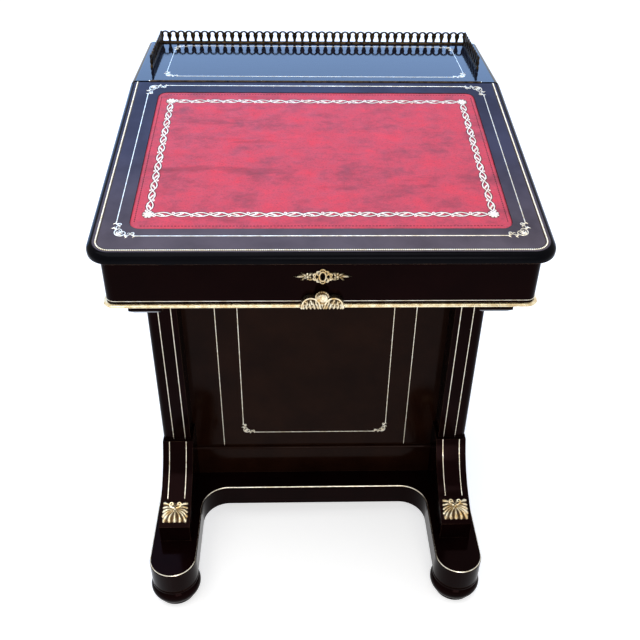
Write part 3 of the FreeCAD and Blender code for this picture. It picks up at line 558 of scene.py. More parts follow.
@dataclass
class Finishes:
    """All the finishes of the desk, built once."""

    polished: bpy.types.Material = field(init=False)
    lid: bpy.types.Material = field(init=False)
    upright: bpy.types.Material = field(init=False)
    brass: bpy.types.Material = field(init=False)
    polish_with_painted_shade: bpy.types.Material = field(init=False)
    band: bpy.types.Material = field(init=False)
    patina_and_shade: bpy.types.Material = field(init=False)
    hinge: bpy.types.Material = field(init=False)
    bead: bpy.types.Material = field(init=False)
    mount: bpy.types.Material = field(init=False)
    leather: bpy.types.Material = field(init=False)
    blind: bpy.types.Material = field(init=False)
    leaf: bpy.types.Material = field(init=False)
    across: bpy.types.Material = field(init=False)
    divider: bpy.types.Material = field(init=False)
    deep: bpy.types.Material = field(init=False)

    def __post_init__(self) -> None:
        """Builds every finish."""
        # The near-black is the polish's own colour; the faint blue in its ground colours is painted
        # reflection of the blue window light.
        self.polished = Lacquer("polish_flat_top", (0.002, 0.004, 0.010), (0.004, 0.007, 0.018),
                                gloss=0.02, level=0.20, tint=(0.45, 0.70, 1.0)).material()
        # Colours of the painted reflection of the sky on the lid's top, from the back to the front.
        painted_reflection = ((0.048, 0.055, 0.116), (0.060, 0.062, 0.116), (0.122, 0.102, 0.128))
        self.lid = Lacquer("polish_lid", (0.0014, 0.0012, 0.0018), (0.0034, 0.0028, 0.0042), gloss=0.10,
                           level=0.035, tint=(0.8, 0.86, 1.0), painted_reflection=painted_reflection, rub=(0.34, 0.18, 0.10)).material()
        self.upright = Lacquer("polish_upright", (0.0070, 0.0020, 0.0011), (0.0170, 0.0056, 0.0027),
                               gloss=0.07, level=0.05, tint=(1.0, 0.78, 0.74)).material()
        # The same black polish as the uprights, with its ground made darker as painted shade.
        self.polish_with_painted_shade = Lacquer("polish_box_painted_shade", (0.0024, 0.0007, 0.0007), (0.0060, 0.0014, 0.0013),
                             gloss=0.06, level=0.032, tint=(1.0, 0.50, 0.52)).material()
        self.brass = GiltBrass("brass_line", (0.93, 0.89, 0.78), (0.68, 0.59, 0.43)).material()
        self.band = GiltBrass("brass_band", (0.93, 0.83, 0.59), (0.66, 0.50, 0.27)).material()
        # Dark patina on the gallery's brass, deepened nearly to black as painted shade of the backlit arches.
        self.patina_and_shade = GiltBrass("patina_and_painted_shade_brass", (0.062, 0.040, 0.019), (0.006, 0.004, 0.003),
                              gloss=0.34).material()
        # The hinge brass is darkened nearly to black as painted shade of the seam between the lid and the
        # flat top.
        self.hinge = GiltBrass("hinge_brass_painted_shade", (0.052, 0.036, 0.021), (0.012, 0.008, 0.005)).material()
        # The bead and the mounts take painted shade in their hollows and on their flanks.
        self.bead = GiltBrass("bead_brass", (0.98, 0.94, 0.82), (0.86, 0.77, 0.58), relief=True).material()
        self.mount = GiltBrass("gilt_mount", (1.0, 0.92, 0.70), (0.66, 0.45, 0.19), relief=True,
                               shadow=1.05).material()
        self.leather = RedLeather("red_skin", (0.63, 0.067, 0.110), (0.35, 0.052, 0.084),
                                  rough=0.46).material()
        self.blind = RedLeather("red_skin_pressed", (0.085, 0.005, 0.010), (0.05, 0.003, 0.006),
                                rough=0.5).material()
        self.leaf = GoldLeaf().material()
        pale, brown, crosswise = (0.36, 0.19, 0.085), (0.20, 0.085, 0.032), (1, 0, 0)
        self.across = PlainWood("inside_wood_across", pale, brown, crosswise).material()
        self.divider = PlainWood("inside_wood_blacked", pale, brown, crosswise, blacked=0.25).material()
        self.deep = PlainWood("inside_wood_deep", (0.34, 0.18, 0.08), (0.19, 0.08, 0.03),
                              along=(0, 1, 0)).material()


def curl(start: Point, heading: float, length: float, turn: float, steps: int = 16,
         tighten: float = 1.4) -> list[Point]:
    """Draws a scroll that winds tighter along its length.

    Args:
        start: First point.
        heading: Direction at the start, in radians.
        length: Length of the line.
        turn: Whole turn, in radians, positive to the left.
        steps: Number of pieces of the line.
        tighten: How much later the turning comes.

    Returns:
        The points of the line.
    """
    shares = [((i + 0.5) / steps) ** tighten for i in range(steps)]
    whole = sum(shares)
    points = [start]
    for share in shares:
        heading += turn * share / whole
        last = points[-1]
        points.append((last[0] + length / steps * cos(heading), last[1] + length / steps * sin(heading)))
    return points


def arc(centre: Point, radius: float, start: float, end: float, steps: int) -> list[Point]:
    """Gives points on a circle from one angle to another, in degrees."""
    turns = [radians(start + (end - start) * i / steps) for i in range(steps + 1)]
    return [(centre[0] + radius * cos(turn), centre[1] + radius * sin(turn)) for turn in turns]


def bearing(way: Vector) -> float:
    """Gives the angle of a direction on a face, in radians."""
    return -Vector((1, 0)).angle_signed(way)


def mitre(along: Vector, first: Vector) -> float:
    """Gives how much wider a line is cut at a bend, from its mean direction there and the one before."""
    return min(WIDEST_MITRE, 1 / max(SHARPEST_BEND, along.dot(first)))


@dataclass
class Mould:
    """Gathers the mesh of one piece in millimetres of a local frame."""

    place: Matrix = field(default_factory=Matrix)
    points: list[Vector] = field(default_factory=list)
    faces: list[tuple[int, ...]] = field(default_factory=list)
    # Painted shade of each point, from 0 in a hollow to 1 on a ridge.
    shade_tones: list[float] = field(default_factory=list)

    def skin(self, rings: Sequence[Sequence[Sequence[float]]], loop: bool = False, hoop: bool = True,
             caps: bool = True, shade_tone: Callable[[int, int], float] = lambda row, k: 1.0) -> None:
        """Covers a row of equal rings with faces.

        Args:
            rings: Rings of local points.
            loop: Whether the last ring joins the first.
            hoop: Whether each ring is closed.
            caps: Whether the ends are closed.
            shade_tone: How little painted shade a point of a ring takes, from 0 in a hollow to 1 on a ridge.
        """
        base, wide, rows = len(self.points), len(rings[0]), len(rings)
        self.points += [self.place @ Vector(point) for ring in rings for point in ring]
        self.shade_tones += [shade_tone(row, k) for row in range(rows) for k in range(wide)]
        for row in range(rows if loop else rows - 1):
            for k in range(wide if hoop else wide - 1):
                here, there = base + row * wide, base + (row + 1) % rows * wide
                self.faces.append((here + k, here + (k + 1) % wide, there + (k + 1) % wide, there + k))
        if caps and hoop and not loop:
            self.faces.append(tuple(base + k for k in reversed(range(wide))))
            self.faces.append(tuple(base + (rows - 1) * wide + k for k in range(wide)))

    def ribbon(self, path: Sequence[Sequence[float]], width: float, rise: float, closed: bool = False,
               sink: float = 0.25, taper: float = 1.0) -> None:
        """Lays a flat-topped line on the local face.

        Args:
            path: Points across and up, with a height of the ground as a third where it isn't flat.
            width: Width of the line.
            rise: Height above the ground.
            closed: Whether the line joins its start.
            sink: Depth below the ground.
            taper: Width at the end, as a share of the width at the start.
        """
        flat = [Vector(point[:2]) for point in path]
        count, rings = len(flat), []
        for i, point in enumerate(flat):
            before = flat[i - 1] if closed or i else None
            after = flat[(i + 1) % count] if closed or i < count - 1 else None
            steps = ((before, point), (point, after))
            ways = [(there - here).normalized() for here, there in steps
                    if here is not None and there is not None]
            along = sum(ways, Vector((0, 0))).normalized()
            side = Vector((-along.y, along.x))
            half = width / 2 * (1 + (taper - 1) * i / max(1, count - 1)) * mitre(along, ways[0])
            ground = path[i][2] if len(path[i]) > 2 else 0.0
            outline = ((-half, -sink), (-0.62 * half, rise), (0.62 * half, rise), (half, -sink))
            rings.append([(point.x + side.x * a, point.y + side.y * a, ground + h) for a, h in outline])
        # Painted shade: the flanks take 0, the flat top 1.
        self.skin(rings, loop=closed, shade_tone=lambda row, k: float(k in (1, 2)))

    def strap(self, path: Sequence[Sequence[float]], side: Sequence[float],
              outline: Sequence[Point], closed: bool = False) -> None:
        """Sweeps an outline along a line whose side direction stays the same.

        Args:
            path: Points of the line.
            side: Direction of the outline's first number.
            outline: Points sideways and outward from the line.
            closed: Whether the line joins its start.
        """
        line, across, count, rings = [Vector(point) for point in path], Vector(side), len(path), []
        for i, point in enumerate(line):
            before = line[i - 1] if closed or i else point
            after = line[(i + 1) % count] if closed or i < count - 1 else point
            first = (point - before).normalized() if before != point else (after - point).normalized()
            along = (after - before).normalized()
            out = across.cross(along).normalized() * mitre(along, first)
            rings.append([point + across * a + out * h for a, h in outline])
        self.skin(rings, loop=closed)

    def leaf(self, root: Point, heading: float, length: float, width: float, rise: float, bend: float = 0.0,
             ground: float = 0.0, lift: float = 0.0, steps: int = 7) -> None:
        """Adds a leaf with a raised rib.

        Args:
            root: Where the leaf starts.
            heading: Direction at the root, in radians.
            length: Length of the leaf.
            width: Greatest width.
            rise: Height of the rib.
            bend: Turn from root to tip, in radians.
            ground: Height of the root.
            lift: Height gained at the tip.
            steps: Number of cross-sections.
        """
        spot, rings = Vector(root), []
        for i in range(steps + 1):
            share = i / steps
            turn = heading + bend * share
            along = Vector((cos(turn), sin(turn)))
            side = Vector((-along.y, along.x))
            half = width / 2 * max(0.06, sin(pi * min(1.0, 0.04 + 0.96 * share) ** 0.75))
            top = rise * (0.45 + 0.55 * sin(pi * share ** 0.8))
            base = ground + lift * share
            flank, hip = 0.6 * half, 0.55 * top
            outline = ((-half, -0.3), (-flank, hip), (0, top), (flank, hip), (half, -0.3))
            rings.append([(*(spot + side * a), base + h) for a, h in outline])
            spot = spot + along * (length / steps)
        self.skin(rings, shade_tone=lambda row, k: LEAF_SHADE_TONES[k])

    def lobe(self, root: Point, tip: Point, width: float, rise: float, bend: float = 0.0,
             ground: float = 0.0) -> None:
        """Adds a lobe that widens to a round end.

        Args:
            root: Where the lobe starts.
            tip: Where it ends.
            width: Width near the end.
            rise: Height of its ridge.
            bend: Sideways bow, as a share of its length.
            ground: Height of the ground.
        """
        start, reach, rings, steps = Vector(root), Vector(tip) - Vector(root), [], 12
        side = Vector((-reach.y, reach.x)).normalized()
        for i in range(steps + 1):
            share = i / steps
            spot = start + reach * share + side * (bend * reach.length * sin(pi * share))
            past = max(0.0, (share - 0.86) / 0.14)
            half = width / 2 * (0.22 + 0.78 * min(share, 0.9) / 0.9) * max(0.12, 1 - past ** 2) ** 0.5
            top = rise * (0.55 + 0.45 * sin(pi * min(1.0, 0.15 + share))) * (1 - 0.35 * past)
            flank, hip = 0.62 * half, 0.62 * top
            outline = ((-half, -0.5), (-flank, hip), (0, top), (flank, hip), (half, -0.5))
            rings.append([(*(spot + side * a), ground + h) for a, h in outline])
        self.skin(rings, shade_tone=lambda row, k: LOBE_SHADE_TONES[k])

    def boss(self, centre: Point, radius: float, rise: float, ground: float = 0.0, sides: int = 14) -> None:
        """Adds a small dome.

        Args:
            centre: Middle of the dome.
            radius: Radius of its foot.
            rise: Height of the dome.
            ground: Height of its foot.
            sides: Facets round the dome.
        """
        rings, shares = [], (-0.25, 0.0, 0.3, 0.6, 0.85, 0.97)
        turns = [2 * pi * k / sides for k in range(sides)]
        for share in shares:
            reach = radius * (1 if share <= 0 else (1 - share ** 2) ** 0.5)
            high = ground + rise * share
            rings.append([(centre[0] + reach * cos(turn), centre[1] + reach * sin(turn), high)
                          for turn in turns])
        # Painted shade: darkest at the dome's foot, none at its top.
        self.skin(rings, shade_tone=lambda row, k: row / (len(shares) - 1))

    def turned(self, centre: Sequence[float], outline: Sequence[Point], sides: int = 40) -> None:
        """Turns an outline about the local height.

        Args:
            centre: Foot of the axis.
            outline: Radius and height pairs.
            sides: Facets round the axis.
        """
        turns = [2 * pi * k / sides for k in range(sides)]
        self.skin([[(centre[0] + r * cos(turn), centre[1] + r * sin(turn), centre[2] + h) for turn in turns]
                   for r, h in outline])

    def piece(self, name: str, body: str, finish: bpy.types.Material, slot: Slot,
              stands_for: Sequence[str] = (), crease: float = 38.0) -> bpy.types.Object:
        """Makes the object, dresses it and sets it on its body.

        Args:
            name: Name of the piece.
            body: Body that the piece rides on.
            finish: Material of the piece.
            slot: Material slot of the record; not used.
            stands_for: CAD nodes that the piece replaces.
            crease: Angle above which an edge stays sharp, in degrees.

        Returns:
            The new object.
        """
        mesh = bpy.data.meshes.new(name)
        mesh.from_pydata([point * MM for point in self.points], [], self.faces)
        shape = bmesh.new()
        shape.from_mesh(mesh)
        bmesh.ops.recalc_face_normals(shape, faces=shape.faces)
        shape.to_mesh(mesh)
        shape.free()
        # The painted shade values go to the relief attribute that the relief brass reads.
        lift = mesh.attributes.new("relief", "FLOAT", "POINT")
        lift.data.foreach_set("value", self.shade_tones)
        mesh.shade_smooth()
        mesh.set_sharp_from_angle(angle=radians(crease))
        mesh.materials.append(finish)
        made = bpy.data.objects.new(name, mesh)
        bpy.context.scene.collection.objects.link(made)
        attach(made, body)
        if stands_for:
            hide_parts(*stands_for)
        LOG.info("%s: %d faces, rides on %s", name, len(mesh.polygons), body)
        return made


def dress(finish: bpy.types.Material, *nodes: str) -> None:
    """Gives CAD nodes a finish.

    Args:
        finish: The material.
        nodes: Names of the nodes.
    """
    for name in nodes:
        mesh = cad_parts[name].data
        mesh.materials.clear()
        mesh.materials.append(finish)
        LOG.info("%s: CAD node dressed with %s", name, finish.name)


@dataclass
class Stringing:
    """Brass lines let into a face, with scrolled sprays at their corners."""

    width: float = 1.5
    rise: float = 0.25
    spray: float = 21.0
    reach: float = 1.36

    def line(self, mould: Mould, path: Sequence[Sequence[float]], closed: bool = False) -> None:
        """Lays one line along a path."""
        mould.ribbon(path, self.width, self.rise, closed)

    def corner(self, mould: Mould, at: Point, inward: Point) -> None:
        """Draws the spray in a corner: a round scroll with a leaf in it, and a curling arm along each line.

        Args:
            mould: Mesh that takes the spray.
            at: The corner where the two lines would meet.
            inward: Signs of the directions into the field.
        """
        def spot(a: float, b: float) -> Point:
            """Turns lengths along the two lines into a place on the face."""
            return at[0] + inward[0] * a, at[1] + inward[1] * b

        def leaf(root: Point, heading: float, length: float, wide: float, bend: float) -> None:
            """Adds a leaf whose direction is told from the corner."""
            way = Vector((inward[0] * cos(heading), inward[1] * sin(heading)))
            mould.leaf(spot(*root), bearing(way), length, wide, 1.6 * self.rise,
                       bend * inward[0] * inward[1], steps=6)

        size, thick = self.spray, 1.15 * self.width
        thin = 0.85 * thick
        bowl = arc((0.34 * size, 0.34 * size), 0.33 * size, 110, 340, 22)
        mould.ribbon([spot(a, b) for a, b in bowl], thick, self.rise)
        leaf((0.10 * size, 0.10 * size), pi / 4, 0.44 * size, 0.20 * size, 0.0)
        leaf((0.16 * size, 0.13 * size), pi / 4 - 0.75, 0.30 * size, 0.13 * size, 0.4)
        leaf((0.13 * size, 0.16 * size), pi / 4 + 0.75, 0.30 * size, 0.13 * size, -0.4)
        for swap in (False, True):
            def laid(path: Sequence[Point]) -> list[Point]:
                """Mirrors a path about the corner's diagonal for the second arm."""
                return [spot(b, a) if swap else spot(a, b) for a, b in path]

            def arm_leaf(root: Point, heading: float, length: float, wide: float, bend: float) -> None:
                """Adds a leaf to this arm."""
                told = (root[::-1], pi / 2 - heading, -bend) if swap else (root, heading, bend)
                leaf(told[0], told[1], length, wide, told[2])

            end = bowl[-1] if not swap else bowl[0][::-1]
            twist = curl(end, 0.62 * pi, 0.60 * size, 1.75 * pi, 14, 1.1)
            mould.ribbon(laid(twist), thin, self.rise, taper=0.7)
            arm = curl((self.reach * size, 0.0), pi, 0.92 * size, -2.1 * pi, 20, 1.5)
            mould.ribbon(laid(arm), thick, self.rise, taper=0.65)
            tendril = curl((0.60 * size, 0.10 * size), -0.12 * pi, 0.62 * size, 1.6 * pi, 16, 1.2)
            mould.ribbon(laid(tendril), thin, self.rise, taper=0.65)
            arm_leaf((1.05 * size, 0.02 * size), 0.30 * pi, 0.26 * size, 0.12 * size, 0.5)
            arm_leaf((0.80 * size, -0.01 * size), -0.75 * pi, 0.24 * size, 0.12 * size, 0.5)
            arm_leaf((1.22 * size, 0.0), -0.80 * pi, 0.22 * size, 0.11 * size, 0.5)
            mould.boss(laid([(0.66 * size, 0.02 * size)])[0], 0.07 * size, 1.5 * self.rise, sides=10)

    def panel(self, mould: Mould, low: Point, high: Point, corners: Sequence[tuple[int, int]]) -> None:
        """Draws a rectangle of lines with sprays in some of its corners.

        Args:
            mould: Mesh that takes the lines.
            low: Lower left corner.
            high: Upper right corner.
            corners: Corners with sprays, as signs of the directions into the field.
        """
        def end(sign_x: int, sign_y: int) -> float:
            """Gives the length that a corner's spray takes from each line."""
            return self.reach * self.spray if (sign_x, sign_y) in corners else 0.0

        for sign in (1, -1):
            up = low[1] if sign > 0 else high[1]
            self.line(mould, [(low[0] + end(1, sign), up), (high[0] - end(-1, sign), up)])
            side = low[0] if sign > 0 else high[0]
            self.line(mould, [(side, low[1] + end(sign, 1)), (side, high[1] - end(sign, -1))])
        for sign_x, sign_y in corners:
            at = (low[0] if sign_x > 0 else high[0], low[1] if sign_y > 0 else high[1])
            self.corner(mould, at, (sign_x, sign_y))


@dataclass
class Lid:
    """Sloping lid: brass lines, tooled leather and the milled bead round its edge."""

    finishes: Finishes
    hinge: Spot = (0.0, 100.0, 783.0)
    slope: float = 9.0
    # Brass lines in the border
    line_half: float = 248.3
    line_back: float = -12.5
    line_front: float = -367.0
    # Leather skin in its bed
    skin_half: float = 232.6
    skin_back: float = -32.4
    skin_front: float = -353.0
    skin_corner: float = 13.7
    skin_thick: float = 0.7
    skin_bed: float = 0.36
    skin_rim_drop: float = 0.5
    skin_rim_wide: float = 1.2
    # Mesh of the skin, finer near its edges
    skin_columns: int = 160
    skin_bunch: float = 0.25
    skin_rows: int = 96
    skin_inner: float = 17.5
    skin_edge: tuple[float, ...] = (0.0, 0.5, 1.0, 1.7, 2.5, 3.4, 4.4, 5.6, 7.0, 8.6, 10.4, 12.4, 14.6)
    # Crease in the leather
    crease_at: Point = (-100.0, -158.0)
    crease_long: float = 62.0
    crease_wide: float = 2.6
    crease_high: float = 0.34
    # Gold border: two crossing strands on each side and a flower at each corner
    tool_half: float = 212.5
    tool_back: float = -57.0
    tool_front: float = -325.0
    strand_swing: float = 3.8
    strand_wide: float = 2.1
    strand_steps: int = 28
    scroll_wide: float = 1.8
    gold_rise: float = 0.16
    gold_leaf_rise: float = 0.22
    gold_sink: float = 0.1
    waves_across: int = 9
    waves_along: int = 6
    knot_gap: float = 6.5
    knot_radius: float = 7.0
    knot_petals: int = 8
    # Dark outline under the gold
    outline_wide: float = 5.2
    outline_rise: float = 0.05
    outline_knot: float = 8.2
    outline_dome: float = 0.14
    outline_drop: float = 0.04
    # Pressed dashes near the rim
    dash_inset: float = 5.2
    dash_end: float = 9.0
    dash_wide: float = 1.5
    dash_rise: float = 0.12
    dash_steps: tuple[float, ...] = (-1.2, -0.6, 0.0, 0.6, 1.2)
    dashes_across: int = 107
    dashes_along: int = 75
    # Milled bead round the lid's edge
    bead_half: float = 268.0
    bead_front: float = -393.3
    bead_back: float = -2.6
    bead_corner: float = 18.0
    bead_pitch: float = 2.5
    bead_radius: float = 1.2
    bead_rise: float = 1.1
    bead_foot: float = 0.08
    bead_strip: tuple[Point, ...] = ((-1.2, -0.3), (-1.1, 0.2), (2.3, 0.2), (2.4, -0.3))

    def mould(self) -> Mould:
        """Starts a mesh in the lid's own frame, with the lid's top at height 0."""
        return Mould(Matrix.Translation(Vector(self.hinge)) @ Matrix.Rotation(radians(self.slope), 4, "X"))

    def ground(self, x: float, y: float) -> float:
        """Gives the height of the leather's face, with its slack and its crease.

        Args:
            x: Place across the lid.
            y: Place up the slope.

        Returns:
            Height over the lid's top.
        """
        slack = 0.10 * sin(x / 41 + 1.3) * sin(y / 29 + 0.4) + 0.06 * sin(x / 17 - y / 23)
        fold = y - self.crease_at[1] + 0.02 * x + 2.5 * sin(x / 19)
        beside = (x - self.crease_at[0]) / self.crease_long
        crease = self.crease_high * exp(-(fold / self.crease_wide) ** 2) * exp(-beside ** 4)
        edge = min(self.skin_half - abs(x), y - self.skin_front, self.skin_back - y)
        drop = self.skin_rim_drop * exp(-(max(edge, 0.0) / self.skin_rim_wide) ** 2)
        return -self.skin_bed + slack + crease - drop

    def leather(self) -> bpy.types.Object:
        """Lays the skin into its bed.

        Returns:
            The skin.
        """
        columns, rows, bunch = self.skin_columns, self.skin_rows, self.skin_bunch
        deep, whole = [], self.skin_back - self.skin_front
        shares = [2 * k / columns - 1 for k in range(columns + 1)]
        inner = [self.skin_inner + (whole - 2 * self.skin_inner) * k / rows for k in range(rows + 1)]
        for far in [*self.skin_edge, *inner, *(whole - far for far in reversed(self.skin_edge))]:
            near = self.skin_corner - min(far, whole - far)
            bow = (max(0.0, self.skin_corner ** 2 - near ** 2)) ** 0.5
            half = self.skin_half - (self.skin_corner - bow if near > 0 else 0.0)
            y = self.skin_front + far
            across = [half * sin(pi / 2 * share) * bunch + half * (1 - bunch) * share for share in shares]
            deep.append([(x, y, self.ground(x, y)) for x in across])
        mould = self.mould()
        mould.skin(deep, hoop=False, caps=False)
        skin = mould.piece("lid_leather_skin", "lid", self.finishes.leather, Slot.LEATHER,
                           ["lid_leather"], crease=60)
        thick = skin.modifiers.new("thickness", "SOLIDIFY")
        thick.thickness = self.skin_thick * MM
        thick.offset = -1.0
        return skin

    def corners(self) -> list[Point]:
        """Lists the corners of the gold border."""
        return [(x, y) for x in (-self.tool_half, self.tool_half) for y in (self.tool_back, self.tool_front)]

    def runs(self) -> list[tuple[Point, Point, int, int]]:
        """Lists the runs of the gold border.

        Returns:
            Start, end, whole waves and leading side of each run.
        """
        half, back, front, gap = self.tool_half, self.tool_back, self.tool_front, self.knot_gap
        across = [((gap - half, y), (half - gap, y), self.waves_across, lead)
                  for y, lead in ((back, 1), (front, -1))]
        return across + [((x, front + gap), (x, back - gap), self.waves_along, lead)
                         for x, lead in ((-half, 1), (half, -1))]

    def strands(self, start: Point, end: Point, waves: int) -> list[list[Spot]]:
        """Draws the two crossing strands of a run on the leather.

        Args:
            start: First point of the run.
            end: Last point of the run.
            waves: Whole waves of each strand.

        Returns:
            The points of each strand.
        """
        reach = Vector(end) - Vector(start)
        side = Vector((-reach.y, reach.x)).normalized()
        count, paths = self.strand_steps * waves, []
        for swing in (self.strand_swing, -self.strand_swing):
            spots = [Vector(start) + reach * (i / count) + side * (swing * sin(2 * pi * waves * i / count))
                     for i in range(count + 1)]
            paths.append([(spot.x, spot.y, self.ground(spot.x, spot.y)) for spot in spots])
        return paths

    def scroll(self, mould: Mould, start: Point, end: Point, waves: int, lead: int) -> None:
        """Presses one run of the border: crossing strands with leaves and curls.

        Args:
            mould: Mesh that takes the gold.
            start: First point of the run.
            end: Last point of the run.
            waves: Whole waves of each strand.
            lead: Side of the first wave, 1 or -1.
        """
        along = (Vector(end) - Vector(start)).normalized()
        side = Vector((-along.y, along.x)) * lead
        step = (Vector(end) - Vector(start)).length / waves / 2

        def laid(path: Sequence[Point]) -> list[Spot]:
            """Sets lengths along and beside the run on the leather."""
            spots = [Vector(start) + along * s + side * t for s, t in path]
            return [(spot.x, spot.y, self.ground(spot.x, spot.y)) for spot in spots]

        def leaf(at: Point, heading: float, length: float, width: float, bend: float) -> None:
            """Presses one leaf of the run."""
            (x, y, high), way = laid([at])[0], along * cos(heading) + side * sin(heading)
            mould.leaf((x, y), bearing(way), length, width, self.gold_leaf_rise, bend * lead, high, steps=6)

        for strand in self.strands(start, end, waves):
            mould.ribbon(strand, self.strand_wide, self.gold_rise, sink=self.gold_sink)
        for k in range(2 * waves):
            up = 1 if k % 2 == 0 else -1
            begin = k * step
            leaf((begin + 0.16 * step, -1.9 * up), 0.24 * up, 0.60 * step, 3.2, 0.5 * up)
            leaf((begin + 0.58 * step, 3.7 * up), -0.18 * up, 0.40 * step, 3.4, -0.5 * up)
            leaf((begin + 0.42 * step, -3.7 * up), pi - 0.18 * up, 0.40 * step, 3.4, -0.5 * up)
            eyelet = curl((begin + 0.40 * step, 3.7 * up), 0.45 * up, 8.0, -1.7 * pi * up, 14, 0.6)
            spur = curl((begin + 0.10 * step, 1.2 * up), 1.25 * up, 7.0, 1.5 * pi * up, 14, 0.65)
            for path in (eyelet, spur):
                mould.ribbon(laid(path), self.scroll_wide, self.gold_rise, sink=self.gold_sink, taper=0.9)

    def knot(self, mould: Mould, at: Point) -> None:
        """Presses a full flower.

        Args:
            mould: Mesh that takes the gold.
            at: Centre of the flower.
        """
        high, radius, petals = self.ground(*at), self.knot_radius, self.knot_petals
        for reach, share in ((1.0, 0.5), (0.66, 0.0)):
            for k in range(petals):
                turn = 2 * pi * (k + share) / petals
                tip = (at[0] + reach * radius * cos(turn), at[1] + reach * radius * sin(turn))
                mould.lobe(at, tip, 6.6 * reach * radius / petals, 0.30, 0.0, high + 0.2 * (1 - reach))
        mould.boss(at, 0.26 * radius, 0.5, high, sides=10)

    def tooling(self) -> bpy.types.Object:
        """Presses the gold border.

        Returns:
            The gold.
        """
        mould = self.mould()
        for corner in self.corners():
            self.knot(mould, corner)
        for start, end, waves, lead in self.runs():
            self.scroll(mould, start, end, waves, lead)
        return mould.piece("lid_gold_tooling", "lid", self.finishes.leaf, Slot.BRASS, crease=80)

    def blind_tooling(self) -> bpy.types.Object:
        """Presses the dark dashes near the leather's rim, and the dark outline under the gold.

        Returns:
            The pressed marks.
        """
        mould, inset, end = self.mould(), self.dash_inset, self.dash_end
        half, back, front = self.skin_half - inset, self.skin_back - inset, self.skin_front + inset

        def dash(x: float, y: float, way: Point) -> None:
            """Presses one dash."""
            spots = [(x + way[0] * t, y + way[1] * t) for t in self.dash_steps]
            mould.ribbon([(*spot, self.ground(*spot)) for spot in spots], self.dash_wide, self.dash_rise,
                         sink=self.gold_sink)

        last_across, last_along = self.dashes_across - 1, self.dashes_along - 1
        for k in range(self.dashes_across):
            for y in (back, front):
                dash((half - end) * (2 * k / last_across - 1), y, (1, 0))
        for k in range(self.dashes_along):
            for x in (-half, half):
                dash(x, front + end + (back - front - 2 * end) * k / last_along, (0, 1))
        for start, stop, waves, _ in self.runs():
            for strand in self.strands(start, stop, waves):
                mould.ribbon(strand, self.outline_wide, self.outline_rise, sink=self.gold_sink)
        for corner in self.corners():
            high = self.ground(*corner) - self.outline_drop
            mould.boss(corner, self.outline_knot, self.outline_dome, high, sides=24)
        return mould.piece("lid_blind_dashes", "lid", self.finishes.blind, Slot.LEATHER, crease=80)

    def lines(self) -> None:
        """Lets the brass lines into the border."""
        mould = self.mould()
        low, high = (-self.line_half, self.line_front), (self.line_half, self.line_back)
        Stringing().panel(mould, low, high, EVERY_CORNER)
        mould.piece("lid_brass_line", "lid", self.finishes.brass, Slot.BRASS)

    def bead(self) -> None:
        """Runs the milled bead along the sides and the front: a row of small domes on a strip coloured dark
        as painted shade.
        """
        half, front, turn = self.bead_half, self.bead_front, self.bead_corner
        path = [(-half, self.bead_back), (-half, front + turn)]
        path += arc((-half + turn, front + turn), turn, 180, 270, 12)[1:]
        path += arc((half - turn, front + turn), turn, 270, 360, 12)
        path += [(half, self.bead_back)]
        mould = self.mould()
        rings = [[(*(spot + side * p), h) for p, h in self.bead_strip]
                 for spot, side in self.edge_spots(path)]
        # The strip under the domes takes full painted shade.
        mould.skin(rings, shade_tone=lambda row, k: 0.0)
        legs = [hypot(b[0] - a[0], b[1] - a[1]) for a, b in zip(path, path[1:])]
        count = int(sum(legs) / self.bead_pitch)
        for k in range(count):
            far, leg = sum(legs) * (k + 0.5) / count, 0
            while far > legs[leg]:
                far -= legs[leg]
                leg += 1
            spot = Vector(path[leg]).lerp(Vector(path[leg + 1]), far / legs[leg])
            mould.boss((spot.x, spot.y), self.bead_radius, self.bead_rise, self.bead_foot, sides=10)
        mould.piece("lid_milled_bead", "lid", self.finishes.bead, Slot.BRASS, ["lid_bead"], crease=70)

    def edge_spots(self, path: Sequence[Point]) -> list[tuple[Vector, Vector]]:
        """Gives each point of a line with the direction beside it.

        Args:
            path: Points of the line.

        Returns:
            The points and directions.
        """
        line, spots = [Vector(point) for point in path], []
        for i, point in enumerate(line):
            along = (line[min(i + 1, len(line) - 1)] - line[max(i - 1, 0)]).normalized()
            spots.append((point, Vector((-along.y, along.x))))
        return spots

    def build(self) -> None:
        """Builds and dresses the lid."""
        dress(self.finishes.lid, "lid_board")
        dress(self.finishes.hinge, "hinge_lid_leaf", "lock_keeper")
        skin, gold, dots = self.leather(), self.tooling(), self.blind_tooling()
        self.lines()
        self.bead()


